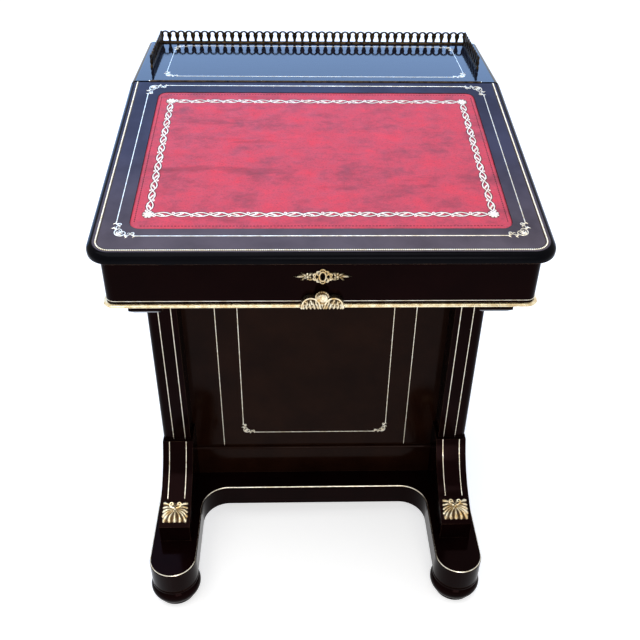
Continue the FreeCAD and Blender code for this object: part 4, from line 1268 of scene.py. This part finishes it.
@dataclass
class FlatTop:
    """Fixed back part of the top, with its brass line and the pierced gallery."""

    finishes: Finishes
    top: float = 783.0
    # Seam along which a brass ribbon stands as the painted highlight of the flat top's rounded front edge,
    # and its half length
    seam: float = 103.3
    seam_half: float = 252.0
    line_half: float = 230.0
    line_front: float = 123.0
    line_back: float = 270.0
    # Gallery on the back and the sides
    rail_half: float = 256.0
    rail_back: float = 287.0
    rail_front: float = 161.0
    rail_high: float = 20.0
    rail_lap: float = 4.0
    arches_back: int = 39
    arches_side: int = 9
    # Section of the sill: places beside the run and heights
    sill: tuple[Point, ...] = ((-1.9, 0), (-1.9, 1.2), (-1.3, 1.9), (-1.3, 3.0),
                               (1.3, 3.0), (1.3, 1.9), (1.9, 1.2), (1.9, 0))
    # Posts between the openings: half widths and heights, and heights on their middle line
    leg: tuple[Point, ...] = ((2.1, 2.4), (2.2, 5.4), (2.6, 7.4), (3.4, 9.8), (4.0, 12.0))
    leg_rim: tuple[float, ...] = (2.4, 5.4, 7.4, 9.8, 12.6)
    # Section of the pierced bar: share from the opening to the rim, and place beside the run
    bar: tuple[Point, ...] = ((0, -0.45), (0.22, -1.0), (1, -0.8), (1, 0.8), (0.22, 1.0), (0, 0.45))
    # Round head of an opening and the arch over it
    bell_head: float = 3.1
    bell_drop: float = 5.3
    crown: float = 8.6
    # Radius and height pairs of a turned post at the ends
    post_outline: tuple[Point, ...] = (
        (2.0, 0.0), (2.0, 3.4), (1.4, 4.0), (1.2, 5.4), (1.9, 8.0), (2.0, 9.6), (1.3, 13.0), (1.1, 15.2),
        (1.8, 15.8), (1.8, 16.6), (1.2, 17.2), (1.7, 18.2), (1.5, 19.2), (0.3, 20.0))

    def run(self, mould: Mould, count: int, start: Point, end: Point) -> None:
        """Builds one run of the gallery: a sill and arches pierced with bell-shaped openings.

        Args:
            mould: Mesh that takes the run.
            count: Number of arches.
            start: First end of the run.
            end: Last end of the run.
        """
        along = (Vector(end) - Vector(start)).normalized()
        pitch = (Vector(end) - Vector(start)).length / count
        side = Vector((-along.y, along.x))
        mould.skin([[(*(Vector(at) + side * a), h) for a, h in self.sill] for at in (start, end)])
        half, head, low = pitch / 2, self.rail_high - self.bell_drop, self.rail_high - self.crown
        bell = [(half - a, h) for a, h in self.leg]
        bell += [(self.bell_head * cos(turn), head + self.bell_head * sin(turn))
                 for turn in (pi * k / 14 for k in range(-3, 8))]
        reach = asin(half / self.crown)
        rim = [(half, h) for h in self.leg_rim]
        rim += [(self.crown * sin(turn), low + self.crown * cos(turn))
                for turn in (reach * (1 - k / 10) for k in range(11))]
        pairs = list(zip(bell, rim))
        pairs += [((-a[0], a[1]), (-b[0], b[1])) for a, b in reversed(pairs[:-1])]
        for k in range(count):
            at = Vector(start) + along * (pitch * (k + 0.5))
            rings = []
            for inner, outer in pairs:
                ring = []
                for share, by in self.bar:
                    spot = at + along * (inner[0] + (outer[0] - inner[0]) * share) + side * by
                    ring.append((spot.x, spot.y, inner[1] + (outer[1] - inner[1]) * share))
                rings.append(ring)
            mould.skin(rings)

    def build(self) -> None:
        """Builds and dresses the flat top."""
        dress(self.finishes.polished, "flat_top")
        dress(self.finishes.hinge, "hinge_fixed_leaf", "hinge_pin")
        face = Facing.TOP.frame((0, 0, self.top))
        mould = Mould(face)
        low, high = (-self.line_half, self.line_front), (self.line_half, self.line_back)
        Stringing(width=1.3, spray=16).panel(mould, low, high, EVERY_CORNER)
        # This brass ribbon along the seam is a painted highlight: it stands in for the light caught on the
        # rounded front edge of the flat top.
        Stringing(width=2.2).line(mould, [(-self.seam_half, self.seam), (self.seam_half, self.seam)])
        mould.piece("flat_top_brass_line_and_painted_highlight", "carcase", self.finishes.brass, Slot.BRASS)
        gallery = Mould(face)
        half, back, front = self.rail_half, self.rail_back, self.rail_front
        self.run(gallery, self.arches_back, (-half, back), (half, back))
        for x in (-half, half):
            self.run(gallery, self.arches_side, (x, front), (x, back - self.rail_lap))
            for y in (front, back - self.rail_lap / 2, back):
                gallery.turned((x, y, 0.0), self.post_outline, sides=14)
        gallery.piece("pierced_gallery", "carcase", self.finishes.patina_and_shade, Slot.BRASS, ["gallery"], crease=50)


@dataclass
class DeskBox:
    """Writing box: its band, its brass line, the escutcheon and the winged head."""

    finishes: Finishes
    half: float = 267.0
    front: float = -279.0
    back: float = 285.0
    floor: float = 635.0
    corner: float = 12.0
    line_high: float = 642.8
    # Sections of the band and of the line over it
    reeds: tuple[Point, ...] = ((0.0, -0.4), (0.0, 3.4), (0.5, 4.2), (1.3, 4.5), (2.2, 4.2), (2.6, 3.5),
                                (2.9, 3.2), (3.3, 3.4), (3.9, 2.9), (4.2, 1.9), (4.4, 0.8), (4.4, -0.4))
    thin_line: tuple[Point, ...] = ((-0.5, -0.3), (-0.33, 0.3), (0.33, 0.3), (0.5, -0.3))
    # Lock plate: its height, and the rings of its oval as half width, half height and rise
    lock_high: float = 679.0
    lock_oval: tuple[Spot, ...] = ((2.9, 5.2, -0.3), (2.9, 5.2, 1.2), (3.3, 5.7, 2.1), (4.1, 6.6, 2.4),
                                   (5.0, 7.5, 2.0), (5.4, 7.9, 0.9), (5.4, 7.9, -0.3))
    # Painted shade of each ring of the oval: full at its feet, none on its crest.
    lock_shade_tones: tuple[float, ...] = (0, 0.1, 0.8, 1, 0.9, 0.2, 0)
    lock_sides: int = 40
    # Rosettes on the lock's arms
    rosette: float = 18.2
    rosette_reach: float = 4.9
    rosette_petals: int = 6
    # Winged head: tilt, heights, and half sizes across, up and out
    head_tilt: float = 18.0
    head_high: float = 646.0
    head_rise: float = 6.8
    head_proud: float = 7.4
    head_size: Spot = (6.7, 7.6, 6.0)
    head_rows: int = 44
    head_sides: int = 56
    # Swellings of the face: place across and up, reach across and up, and height
    humps: tuple[tuple[float, ...], ...] = (
        (0.0, -0.10, 0.16, 0.24, 0.20), (0.0, 0.16, 0.50, 0.14, 0.07), (0.0, -0.62, 0.24, 0.20, 0.10),
        (0.34, -0.26, 0.24, 0.26, 0.07), (-0.34, -0.26, 0.24, 0.26, 0.07), (0.0, -0.40, 0.20, 0.055, 0.07),
        (0.30, 0.04, 0.15, 0.09, -0.07), (-0.30, 0.04, 0.15, 0.09, -0.07), (0.30, 0.03, 0.09, 0.055, 0.06),
        (-0.30, 0.03, 0.09, 0.055, 0.06), (0.0, -0.335, 0.14, 0.03, -0.04))
    # Rows of curls: count, reach, lift and size
    curls: tuple[tuple[int, float, float, float], ...] = (
        (9, 0.78, 4.0, 2.1), (11, 1.02, 1.2, 2.2), (7, 0.45, 5.2, 1.9))
    # Neck, and directions of the leaves under it
    neck: tuple[Point, ...] = ((6.0, 0), (6.2, 3.0), (5.6, 6.0), (4.4, 8.0))
    neck_rise: float = 4.0
    ruff: tuple[float, ...] = (-2.15, -1.57, -0.99)
    # Round shoulder line of a wing, and the ground behind its feathers, coloured dark as painted shade
    wing_middle: float = 14.2
    wing_half: float = 11.4
    wing_drop: float = 8.6
    wing_rise: float = 15.0
    wing_turn: float = 0.92
    wing_foot: float = 12.4
    wing_bed: float = 4.6
    # Rows of feathers: count, drop, share of the way down, width and ground
    feathers: tuple[tuple[int, float, float, float, float], ...] = (
        (7, 6.5, 1.0, 4.8, 4.6), (6, 3.4, 0.62, 4.6, 5.6), (5, 1.4, 0.34, 4.2, 6.6))

    def round_front(self, high: float) -> list[Spot]:
        """Gives the line round the sides and front of the box.

        Args:
            high: Height of the line.

        Returns:
            Points from the right back corner round to the left one.
        """
        half, front, turn = self.half - self.corner, self.front + self.corner, self.corner
        path = [(self.half, self.back)] + arc((half, front), turn, 0, -90, 12)
        path += arc((-half, front), turn, -90, -180, 12) + [(-self.half, self.back)]
        return [(x, y, high) for x, y in path]

    def band(self) -> None:
        """Runs the reeded brass band along the foot of the box and the thin line over it."""
        mould = Mould()
        mould.strap(self.round_front(self.floor), (0, 0, 1), self.reeds)
        mould.piece("box_reeded_band", "carcase", self.finishes.band, Slot.BRASS, ["box_band"], crease=25)
        line = Mould()
        line.strap(self.round_front(self.line_high), (0, 0, 1), self.thin_line)
        line.piece("box_brass_line", "carcase", self.finishes.brass, Slot.BRASS)

    def escutcheon(self) -> None:
        """Builds the pierced lock plate: a tall crested oval, and scrolled arms that end in leaf points."""
        mould = Mould(Facing.FRONT.frame((0, self.front, self.lock_high)))
        turns = [2 * pi * k / self.lock_sides for k in range(self.lock_sides)]
        rings = [[(wide * cos(turn), tall * sin(turn), high) for turn in turns]
                 for wide, tall, high in self.lock_oval]
        mould.skin(rings, caps=False, shade_tone=lambda row, k: self.lock_shade_tones[row])
        arm = curl((5.4, 2.0), 0.95, 15.0, -2.35 * pi, 24, 0.9)
        crest = curl((3.6, 7.2), 0.35, 8.0, -1.9 * pi, 18, 1.1)
        for sign in (-1, 1):
            way = 0.0 if sign > 0 else pi
            for up in (-1, 1):
                lean = sign * up
                for path, wide, rise in ((arm, 2.1, 2.1), (crest, 1.7, 1.8)):
                    mould.ribbon([(sign * x, up * y) for x, y in path], wide, rise, taper=0.75)
                mould.leaf((sign * 11.2, up * 3.4), way + 0.45 * lean, 7.6, 4.0, 2.4, -0.9 * lean)
                mould.leaf((sign * 21.6, up * 1.8), way + 0.85 * lean, 6.4, 3.4, 2.4, -0.6 * lean)
            middle = sign * self.rosette
            for k in range(self.rosette_petals):
                turn = pi * (2 * k + 1) / self.rosette_petals
                tip = (middle + self.rosette_reach * cos(turn), self.rosette_reach * sin(turn))
                mould.lobe((middle, 0), tip, 4.2, 2.1, 0.12)
            mould.boss((middle, 0), 1.7, 1.2, 1.7)
            mould.leaf((sign * 22.4, 0), way, 12.8, 5.0, 2.5)
        for up, size in ((1, 1.0), (-1, 0.85)):
            mould.ribbon([(x, up * y) for x, y in arc((0, 7.0), 3.3 * size, -10, 190, 16)], 1.6, 1.9)
            mould.boss((0, up * 9.6), 1.3 * size, 2.1)
        mould.piece("lock_escutcheon", "carcase", self.finishes.mount, Slot.BRASS, ["escutcheon"], crease=50)

    def head(self, mould: Mould, centre: Point, high: float) -> None:
        """Models the calm child's head with its curls.

        Args:
            mould: Mesh that takes the head.
            centre: Centre of the head on the face.
            high: Height of the centre.
        """
        wide, tall, deep = self.head_size
        rings, rows, sides = [], self.head_rows, self.head_sides
        for i in range(rows + 1):
            lat = -pi / 2 + pi * (0.004 + 0.992 * i / rows)
            ring = []
            for k in range(sides):
                lon = 2 * pi * k / sides
                x, y, z = cos(lat) * sin(lon), sin(lat), cos(lat) * cos(lon)
                grow = 1.0 - 0.10 * max(0.0, -y) ** 2
                if z > 0:
                    grow += sum(g * exp(-((x - a) / w) ** 2 - ((y - b) / h) ** 2)
                                for a, b, w, h, g in self.humps)
                taper = 1.0 - 0.14 * max(0.0, -y)
                ring.append((centre[0] + wide * x * taper, centre[1] + tall * y * grow ** 0.3,
                             high + deep * z * grow))
            rings.append(ring)
        mould.skin(rings)
        for row, (count, reach, lift, size) in enumerate(self.curls):
            for k in range(count):
                turn = pi * (-0.12 + 1.24 * (k + 0.5 * (row % 2)) / (count - 1))
                above = 0.56 + 0.25 * sin(turn) if row == 2 else 0.12 + reach * 0.88 * sin(turn)
                spot = (centre[0] + wide * reach * cos(turn), centre[1] + tall * above)
                mould.boss(spot, size, 1.7, high + lift - 0.8, sides=12)
                swirl = curl((spot[0] - 0.8 * size, spot[1]), pi / 2, 3.6 * size, -2.6 * pi, 14, 0.8)
                mould.ribbon([(*point, high + lift + 0.35) for point in swirl], 0.8, 0.6, sink=0.6, taper=0.7)

    def wings(self, mould: Mould) -> None:
        """Spreads a pair of drooping feathered wings beside the head.

        Args:
            mould: Mesh that takes the wings.
        """
        low, bed = self.head_high - self.wing_foot, self.wing_bed
        for sign in (-1, 1):
            def spot(share: float, drop: float) -> Point:
                """Gives a place below the wing's round shoulder line.

                Args:
                    share: Place along the line, from 0 at the head to 1 at the wing's end.
                    drop: Distance below the line.

                Returns:
                    The place on the face.
                """
                turn = pi * (self.wing_turn - self.wing_turn * share)
                high = self.head_high - self.wing_drop + self.wing_rise * sin(turn) ** 0.8
                return sign * (self.wing_middle + self.wing_half * cos(turn)), high - drop

            for row, (count, drop, foot, wide, ground) in enumerate(self.feathers):
                for k in range(count):
                    share = (k + 0.4 + 0.2 * (row % 2)) / count
                    top = spot(share, drop * sin(pi * share) * 0.5)
                    tip = (top[0] - sign * 2.6 * (0.9 - share), top[1] + (low - top[1]) * foot)
                    mould.lobe(top, tip, wide, 1.9, sign * 0.06, ground)
            mould.ribbon([(*spot(t / 14, 0.2), 6.8) for t in range(15)], 3.4, 2.4, sink=7.0, taper=0.7)
            # The ground behind the feathers takes full painted shade.
            rings = []
            for t in range(13):
                upper, lower = spot(t / 12, 0.0), spot(t / 12, 11.0 * sin(pi * t / 12) + 0.4)
                rings.append([(*upper, -0.3), (*upper, bed), (*lower, bed), (*lower, -0.3)])
            mould.skin(rings, shade_tone=lambda row, k: 0.0)

    def winged_head(self) -> None:
        """Builds the winged head over the band."""
        mould = Mould(Facing.FRONT.frame((0, self.front, 0)))
        self.wings(mould)
        mould.turned((0, self.head_high + self.neck_rise, -0.3), self.neck, sides=24)
        middle = self.head_high + self.head_rise
        upright, pivot = mould.place, Matrix.Translation((0.0, middle, 0.0))
        mould.place = upright @ pivot @ Matrix.Rotation(radians(self.head_tilt), 4, "Z") @ pivot.inverted()
        self.head(mould, (0.0, middle), self.head_proud)
        mould.place = upright
        for turn in self.ruff:
            mould.leaf((0, self.head_high - 1.0), turn, 9.6, 3.4, 1.6, 0.0, 6.2, -0.8)
        mould.piece("winged_head_mount", "carcase", self.finishes.mount, Slot.BRASS, ["mask_mount"],
                    crease=70)

    def build(self) -> None:
        """Builds and dresses the box."""
        dress(self.finishes.polish_with_painted_shade, "box_front", "box_left", "box_right", "box_back", "box_bottom")
        dress(self.finishes.brass, "lock_case", "lock_bolt")
        dress(self.finishes.across, "till_case")
        dress(self.finishes.deep, "till_drawer_left", "till_drawer_right")
        self.band()
        self.escutcheon()
        self.winged_head()


@dataclass
class Pedestal:
    """Pedestal with the panel lines on its front and the drawers in its sides."""

    finishes: Finishes
    front: float = -30.0
    low: float = 149.0
    high: float = 635.0
    outer: float = 164.5
    panel: float = 128.0
    panel_low: float = 182.0
    panel_over: float = 20.0
    line_gap: float = 0.4
    side: float = 250.0
    line_inset: float = 13.0
    drawers_high: int = 4
    dummy_thick: float = 6.0
    # Inset and height pairs of a front's bevel
    board_edge: tuple[Point, ...] = ((0.0, -2.2), (0.7, -0.9), (2.4, 0.0))
    # Radius and height pairs of a knob
    knob_outline: tuple[Point, ...] = (
        (6.2, -0.4), (8.6, 0.0), (8.8, 1.4), (7.2, 2.6), (5.0, 3.6), (4.6, 5.6), (5.0, 8.0), (6.6, 10.0),
        (9.6, 11.6), (11.5, 13.6), (12.0, 15.6), (11.6, 17.4), (10.2, 18.6), (9.4, 18.8), (8.8, 19.6),
        (6.0, 21.0), (2.6, 21.8), (0.3, 22.0))

    def lines(self) -> None:
        """Lets the brass lines into the front, those of the panel cut off at the box."""
        mould = Mould(Facing.FRONT.frame((0, self.front, 0)))
        lines = Stringing(spray=17)
        for x in (-self.outer, self.outer):
            lines.line(mould, [(x, self.low + self.line_gap), (x, self.high)])
        low, high = (-self.panel, self.panel_low), (self.panel, self.high + self.panel_over)
        lines.panel(mould, low, high, [(1, 1), (-1, 1)])
        mould.points = [Vector((p.x, p.y, min(p.z, self.high))) for p in mould.points]
        mould.piece("pedestal_brass_line", "carcase", self.finishes.brass, Slot.BRASS)

    def front_board(self, mould: Mould, low: Point, high: Point, thick: float) -> None:
        """Builds a drawer's front board with a bevelled edge.

        Args:
            mould: Mesh in the frame of the front's outer face.
            low: Lower left corner.
            high: Upper right corner.
            thick: Thickness of the board.
        """
        rings = []
        for inset, depth in ((0.0, -thick), *self.board_edge):
            a, b, c, d = low[0] + inset, low[1] + inset, high[0] - inset, high[1] - inset
            rings.append([(a, b, depth), (c, b, depth), (c, d, depth), (a, d, depth)])
        mould.skin(rings)

    def knob(self, mould: Mould, centre: Point) -> None:
        """Turns one knob on a front."""
        mould.turned((*centre, 0.0), self.knob_outline, sides=36)

    def drawers(self) -> None:
        """Builds the real fronts on the right and the dummy fronts on the left."""
        left = Facing.LEFT.frame((-self.side, 0, 0))
        dummy, dummy_lines = Mould(left), Mould(left)
        inset, lines = self.line_inset, Stringing(width=1.3, spray=12)
        for number in range(1, self.drawers_high + 1):
            name = f"drawer_{number}"
            lowest, highest = (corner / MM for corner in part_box(f"{name}_front"))
            low, high = (lowest.y, lowest.z), (highest.y, highest.z)
            centre = ((low[0] + high[0]) / 2, (low[1] + high[1]) / 2)
            face = Facing.RIGHT.frame((self.side, 0, 0))
            front, brass = Mould(face), Mould(face)
            self.front_board(front, low, high, self.side - lowest.x)
            self.knob(front, centre)
            front.piece(f"{name}_turned_front", name, self.finishes.upright, Slot.WOOD, [f"{name}_front"])
            lines.panel(brass, (low[0] + inset, low[1] + inset), (high[0] - inset, high[1] - inset),
                        EVERY_CORNER)
            brass.piece(f"{name}_brass_line", name, self.finishes.brass, Slot.BRASS)
            dress(self.finishes.across, f"{name}_tray")
            self.front_board(dummy, (-high[0], low[1]), (-low[0], high[1]), self.dummy_thick)
            self.knob(dummy, (-centre[0], centre[1]))
            lines.panel(dummy_lines, (-high[0] + inset, low[1] + inset), (-low[0] - inset, high[1] - inset),
                        EVERY_CORNER)
        dummy.piece("dummy_turned_fronts", "carcase", self.finishes.upright, Slot.WOOD,
                    ["dummy_drawer_fronts"])
        dummy_lines.piece("dummy_brass_lines", "carcase", self.finishes.brass, Slot.BRASS)

    def build(self) -> None:
        """Builds and dresses the pedestal."""
        dress(self.finishes.upright, "pedestal_front", "pedestal_back", "pedestal_left_side", "plinth")
        dress(self.finishes.divider, *(f"dust_board_{number}" for number in range(1, self.drawers_high + 2)))
        self.lines()
        self.drawers()


@dataclass
class Support:
    """One front support: pilaster, scroll foot, bearer and its palmette mount."""

    finishes: Finishes
    sign: int
    label: str
    face: float = -70.0
    low: float = 205.0
    high: float = 619.0
    line_inner: float = 227.3
    line_outer: float = 247.3
    foot_middle: float = 240.0
    foot_line: float = 14.5
    # Hollow of the foot: centre and radius, first and last angle, and the line in it
    hollow: Spot = (-195.2, 266.1, 133.9)
    hollow_turn: Point = (-27.2, -69.8)
    hollow_line: tuple[Point, ...] = ((-0.75, 0.4), (-0.5, -0.35), (0.5, -0.35), (0.75, 0.4))
    # Leaf mount on the sloping seat of the foot
    seat: Point = (-171.9, 131.0)
    seat_slope: float = 22.57
    mount_half: float = 21.6
    mount_deep: float = 17.6
    mount_petals: int = 5
    # Inset and height pairs of the mount's ground plate, which is coloured dark as painted shade
    mount_plate: tuple[Point, ...] = ((0.8, -0.6), (0.8, 0.3), (1.6, 0.6))
    # Lobes of the mount: ends across and up as shares, and width
    mount_fan: tuple[Spot, ...] = (
        (0.44, -1.0, 8.6), (0.90, -0.97, 8.4), (1.0, -0.48, 8.0), (1.0, 0.02, 7.4), (1.0, 0.46, 6.4))

    def lines(self) -> None:
        """Lets the brass lines into the pilaster and the foot."""
        mould = Mould(Facing.FRONT.frame((0, self.face, 0)))
        lines = Stringing()
        for x in (self.line_inner, self.line_outer):
            lines.line(mould, [(self.sign * x, self.low), (self.sign * x, self.high)])
        centre_y, centre_z, radius = self.hollow
        path = arc((centre_y, centre_z), radius, *self.hollow_turn, 18)
        mould.place = Matrix()
        for x in (-self.foot_line, self.foot_line):
            spots = [(self.sign * self.foot_middle + x, y, z) for y, z in path]
            mould.strap(spots, (1, 0, 0), self.hollow_line)
        mould.piece(f"support_brass_line_{self.label}", "carcase", self.finishes.brass, Slot.BRASS)

    def mount(self) -> None:
        """Builds the square leaf mount on the foot's seat: lobes that fan from a high middle."""
        tilt = Matrix.Translation(Vector((self.sign * self.foot_middle, *self.seat)))
        mould = Mould(tilt @ Matrix.Rotation(radians(self.seat_slope), 4, "X"))
        half, deep, petals, rings = self.mount_half, self.mount_deep, self.mount_petals, []
        for inset, high in self.mount_plate:
            a, b = half - inset, deep - inset
            rings.append([(-a, -b, high), (a, -b, high), (a, b, high), (-a, b, high)])
        # The ground plate takes full painted shade.
        mould.skin(rings, shade_tone=lambda row, k: 0.0)
        heart = Vector((0.0, 0.30 * deep))
        mould.lobe(tuple(heart), (0.0, 0.3 - deep), 9.2, 3.0, 0.0, 0.4)
        for side in (-1, 1):
            for across, along, width in self.mount_fan:
                tip = Vector((side * across * half, along * deep))
                reach = (tip - heart).normalized()
                mould.lobe(tuple(heart + reach * 2.0), tuple(tip - reach * 0.3), width, 2.8, 0.13 * side, 0.4)
            volute = curl((1.6, heart.y + 2.2), 0.12, 25.0, 2.2 * pi, 22, 1.0)
            mould.ribbon([(side * x, y, 1.6) for x, y in volute], 3.2, 2.2, sink=1.6, taper=0.6)
            corner = (side * (half - 0.8), deep - 0.8)
            mould.lobe((side * 5.0, heart.y + 3.0), corner, 7.4, 2.0, 0.10 * side, 0.4)
            mould.lobe((side * 0.8, heart.y + 4.0), (side * 5.6, deep - 0.4), 6.6, 1.8, 0.0, 0.4)
        for k in range(petals):
            turn = 2 * pi * k / petals + pi / 2
            mould.lobe(tuple(heart), tuple(heart + Vector((cos(turn), sin(turn))) * 6.0), 3.8, 1.8, 0.0, 2.3)
        mould.boss(tuple(heart), 2.3, 1.5, 3.1, sides=16)
        mould.piece(f"leaf_mount_{self.label}", "carcase", self.finishes.mount, Slot.BRASS,
                    [f"palmette_mount_{self.label}"], crease=60)

    def build(self) -> None:
        """Builds and dresses the support."""
        kinds = ("pilaster", "scroll_foot", "bearer")
        dress(self.finishes.polish_with_painted_shade, *(f"{kind}_{self.label}" for kind in kinds))
        self.lines()
        self.mount()


@dataclass
class Base:
    """U-shaped platform with its brass line, on turned bun feet."""

    finishes: Finishes
    top: float = 85.0
    half: float = 280.0
    back: float = 288.0
    arm_half: float = 39.0
    arm_end: float = -228.0
    bay: float = -75.0
    bay_corner: float = 45.0
    back_corner: float = 20.0
    bevel: float = 1.7
    feet: tuple[Point, ...] = ((-241.0, -228.0), (241.0, -228.0), (-241.0, 249.0), (241.0, 249.0))
    # Radius and height pairs of a bun foot
    foot_outline: tuple[Point, ...] = (
        (28.0, 0.0), (31.0, 0.4), (33.4, 2.0), (34.2, 4.4), (33.6, 6.6), (33.0, 7.6), (34.6, 8.6),
        (37.6, 11.4), (40.4, 15.6), (41.9, 20.4), (42.0, 24.0), (41.0, 28.2), (38.8, 31.6), (36.6, 33.4),
        (35.8, 34.4), (36.2, 35.2), (38.4, 36.0), (39.4, 37.6), (39.4, 39.2), (38.4, 40.8), (36.6, 41.4),
        (36.4, 43.0))
    # Section of the line on the bevel
    line_outline: tuple[Point, ...] = ((-0.9, -0.5), (-0.65, 0.3), (0.65, 0.3), (0.9, -0.5))
    line_lift: float = 0.5

    def lines(self) -> None:
        """Lays the brass line on the bevelled edge of the platform."""
        middle, corner = self.half - self.arm_half, self.back_corner
        bay = (self.half - 2 * self.arm_half - self.bay_corner, self.bay - self.bay_corner)
        right = arc((self.half - corner, self.back - corner), corner, 90, 0, 8)
        right += [(self.half, self.arm_end)] + arc((middle, self.arm_end), self.arm_half, 0, -180, 36)[1:]
        right += arc(bay, self.bay_corner, 0, 90, 20)
        path = right + [(-x, y) for x, y in reversed(right)]
        mould = Mould()
        outline = []
        for along, proud in self.line_outline:
            outline.append(((along + proud - self.bevel) / 2 ** 0.5, (proud - along - self.bevel) / 2 ** 0.5))
        mould.strap([(x, y, self.top + self.line_lift) for x, y in path], (0, 0, 1), outline, closed=True)
        mould.piece("platform_brass_line", "carcase", self.finishes.brass, Slot.BRASS)

    def build(self) -> None:
        """Builds and dresses the base."""
        dress(self.finishes.polish_with_painted_shade, "platform")
        self.lines()
        mould = Mould()
        for x, y in self.feet:
            mould.turned((x, y, 0), self.foot_outline, sides=56)
        mould.piece("turned_bun_feet", "carcase", self.finishes.polish_with_painted_shade, Slot.WOOD, ["bun_feet"], crease=30)


@dataclass(frozen=True)
class Lamp:
    """Soft square lamp: place, aim and side in metres, power in watts, and the colour of its light."""

    name: str
    at: Spot
    aim: Spot
    size: float
    power: float
    colour: Colour

    def hang(self) -> None:
        """Hangs the lamp in the studio."""
        light = bpy.data.lights.new(self.name, "AREA")
        light.size = self.size
        light.energy = self.power
        light.color = self.colour
        made = bpy.data.objects.new(self.name, light)
        made.location = self.at
        made.visible_camera = False
        made.rotation_euler = (Vector(self.aim) - Vector(self.at)).to_track_quat("-Z", "Y").to_euler()
        bpy.context.scene.collection.objects.link(made)


@dataclass
class Studio:
    """Pale floor, soft lamps, white surroundings and the camera of the photograph."""

    eye: Spot = (-32.3, -1103.6, 1212.7)
    pitch: float = 35.99
    yaw: float = 2.08
    roll: float = 0.96
    lens: float = 45.64
    sensor: float = 36.0
    floor_half: float = 9.0
    floor_steps: int = 12
    sky: Colour = (0.95, 0.97, 1.0)
    sky_strength: float = 0.45
    lamps: tuple[Lamp, ...] = (
        Lamp("overhead_softbox", (-0.5, -0.4, 3.0), (0, -0.05, 0.6), size=2.2, power=36,
             colour=(1.0, 0.99, 0.97)),
        Lamp("front_softbox", (0.3, -2.5, 1.55), (0, 0, 0.5), size=1.0, power=13, colour=(1.0, 0.96, 0.90)),
        Lamp("window_behind", (0.0, 3.2, 1.75), (0, 0.2, 0.75), size=2.4, power=42, colour=(0.12, 0.42, 1.0)),
        Lamp("window_high", (-0.7, 3.0, 4.2), (0, 0, 0.6), size=2.4, power=34, colour=(0.14, 0.42, 1.0)),
        Lamp("window_left", (-2.4, 2.6, 1.0), (-0.2, 0, 0.6), size=1.8, power=24, colour=(0.14, 0.42, 1.0)),
        Lamp("window_right", (2.6, 2.4, 1.0), (0.2, 0, 0.6), size=1.8, power=12, colour=(0.5, 0.6, 1.0)))

    def floor(self) -> None:
        """Lays the floor."""
        mesh = bpy.data.meshes.new("studio_floor")
        half, steps = self.floor_half, self.floor_steps
        spots = [-half + 2 * half * k / steps for k in range(steps + 1)]
        wide = steps + 1
        starts = [row * wide + column for row in range(steps) for column in range(steps)]
        mesh.from_pydata([(x, y, 0.0) for y in spots for x in spots], [],
                         [(k, k + 1, k + wide + 1, k + wide) for k in starts])
        mesh.materials.append(PaleFloor().material())
        ground = bpy.data.objects.new("studio_floor", mesh)
        bpy.context.scene.collection.objects.link(ground)

    def surroundings(self) -> None:
        """Makes the world white where it is seen or mirrored, and softer as a light."""
        world = bpy.data.worlds.new("studio_world")
        world.use_nodes = True
        nodes, links = world.node_tree.nodes, world.node_tree.links
        nodes.clear()
        out = nodes.new("ShaderNodeOutputWorld")
        sky, white = nodes.new("ShaderNodeBackground"), nodes.new("ShaderNodeBackground")
        sky.inputs["Color"].default_value = (*self.sky, 1.0)
        sky.inputs["Strength"].default_value = self.sky_strength
        white.inputs["Color"].default_value = (1.0, 1.0, 1.0, 1.0)
        white.inputs["Strength"].default_value = 1.0
        seen = nodes.new("ShaderNodeLightPath")
        first, second = nodes.new("ShaderNodeMath"), nodes.new("ShaderNodeMath")
        for made in (first, second):
            made.operation = "MAXIMUM"
        links.new(seen.outputs["Is Camera Ray"], first.inputs[0])
        links.new(seen.outputs["Is Glossy Ray"], first.inputs[1])
        links.new(first.outputs[0], second.inputs[0])
        links.new(seen.outputs["Is Transmission Ray"], second.inputs[1])
        mix = nodes.new("ShaderNodeMixShader")
        links.new(second.outputs[0], mix.inputs["Fac"])
        links.new(sky.outputs[0], mix.inputs[1])
        links.new(white.outputs[0], mix.inputs[2])
        links.new(mix.outputs[0], out.inputs["Surface"])
        bpy.context.scene.world = world

    def camera(self) -> None:
        """Sets the camera where the photograph was taken from."""
        pitch, yaw, roll = (radians(turn) for turn in (self.pitch, self.yaw, self.roll))
        ahead = Vector((sin(yaw) * cos(pitch), cos(yaw) * cos(pitch), -sin(pitch)))
        level = Vector((cos(yaw), -sin(yaw), 0.0))
        over = level.cross(ahead)
        right = level * cos(roll) + over * sin(roll)
        up = over * cos(roll) - level * sin(roll)
        lens = bpy.data.cameras.new("photo_camera")
        lens.lens = self.lens
        lens.sensor_width = self.sensor
        lens.sensor_fit = "HORIZONTAL"
        made = bpy.data.objects.new("photo_camera", lens)
        turn = Matrix((right, up, -ahead)).transposed().to_4x4()
        made.matrix_world = Matrix.Translation(Vector(self.eye) * MM) @ turn
        bpy.context.scene.collection.objects.link(made)
        bpy.context.scene.camera = made

    def build(self) -> None:
        """Sets up the studio."""
        bpy.context.scene.view_settings.view_transform = "Standard"
        self.camera()
        self.floor()
        self.surroundings()
        for lamp in self.lamps:
            lamp.hang()


def main() -> None:
    """Builds the desk's sub-assemblies in order, then the studio."""
    logging.basicConfig(level=logging.INFO, format="%(message)s")
    finishes = Finishes()
    assemblies = [Base(finishes), Pedestal(finishes), Support(finishes, -1, "left"),
                  Support(finishes, 1, "right"), DeskBox(finishes), FlatTop(finishes), Lid(finishes),
                  Studio()]
    for assembly in assemblies:
        assembly.build()


if __name__ == "__main__":
    main()
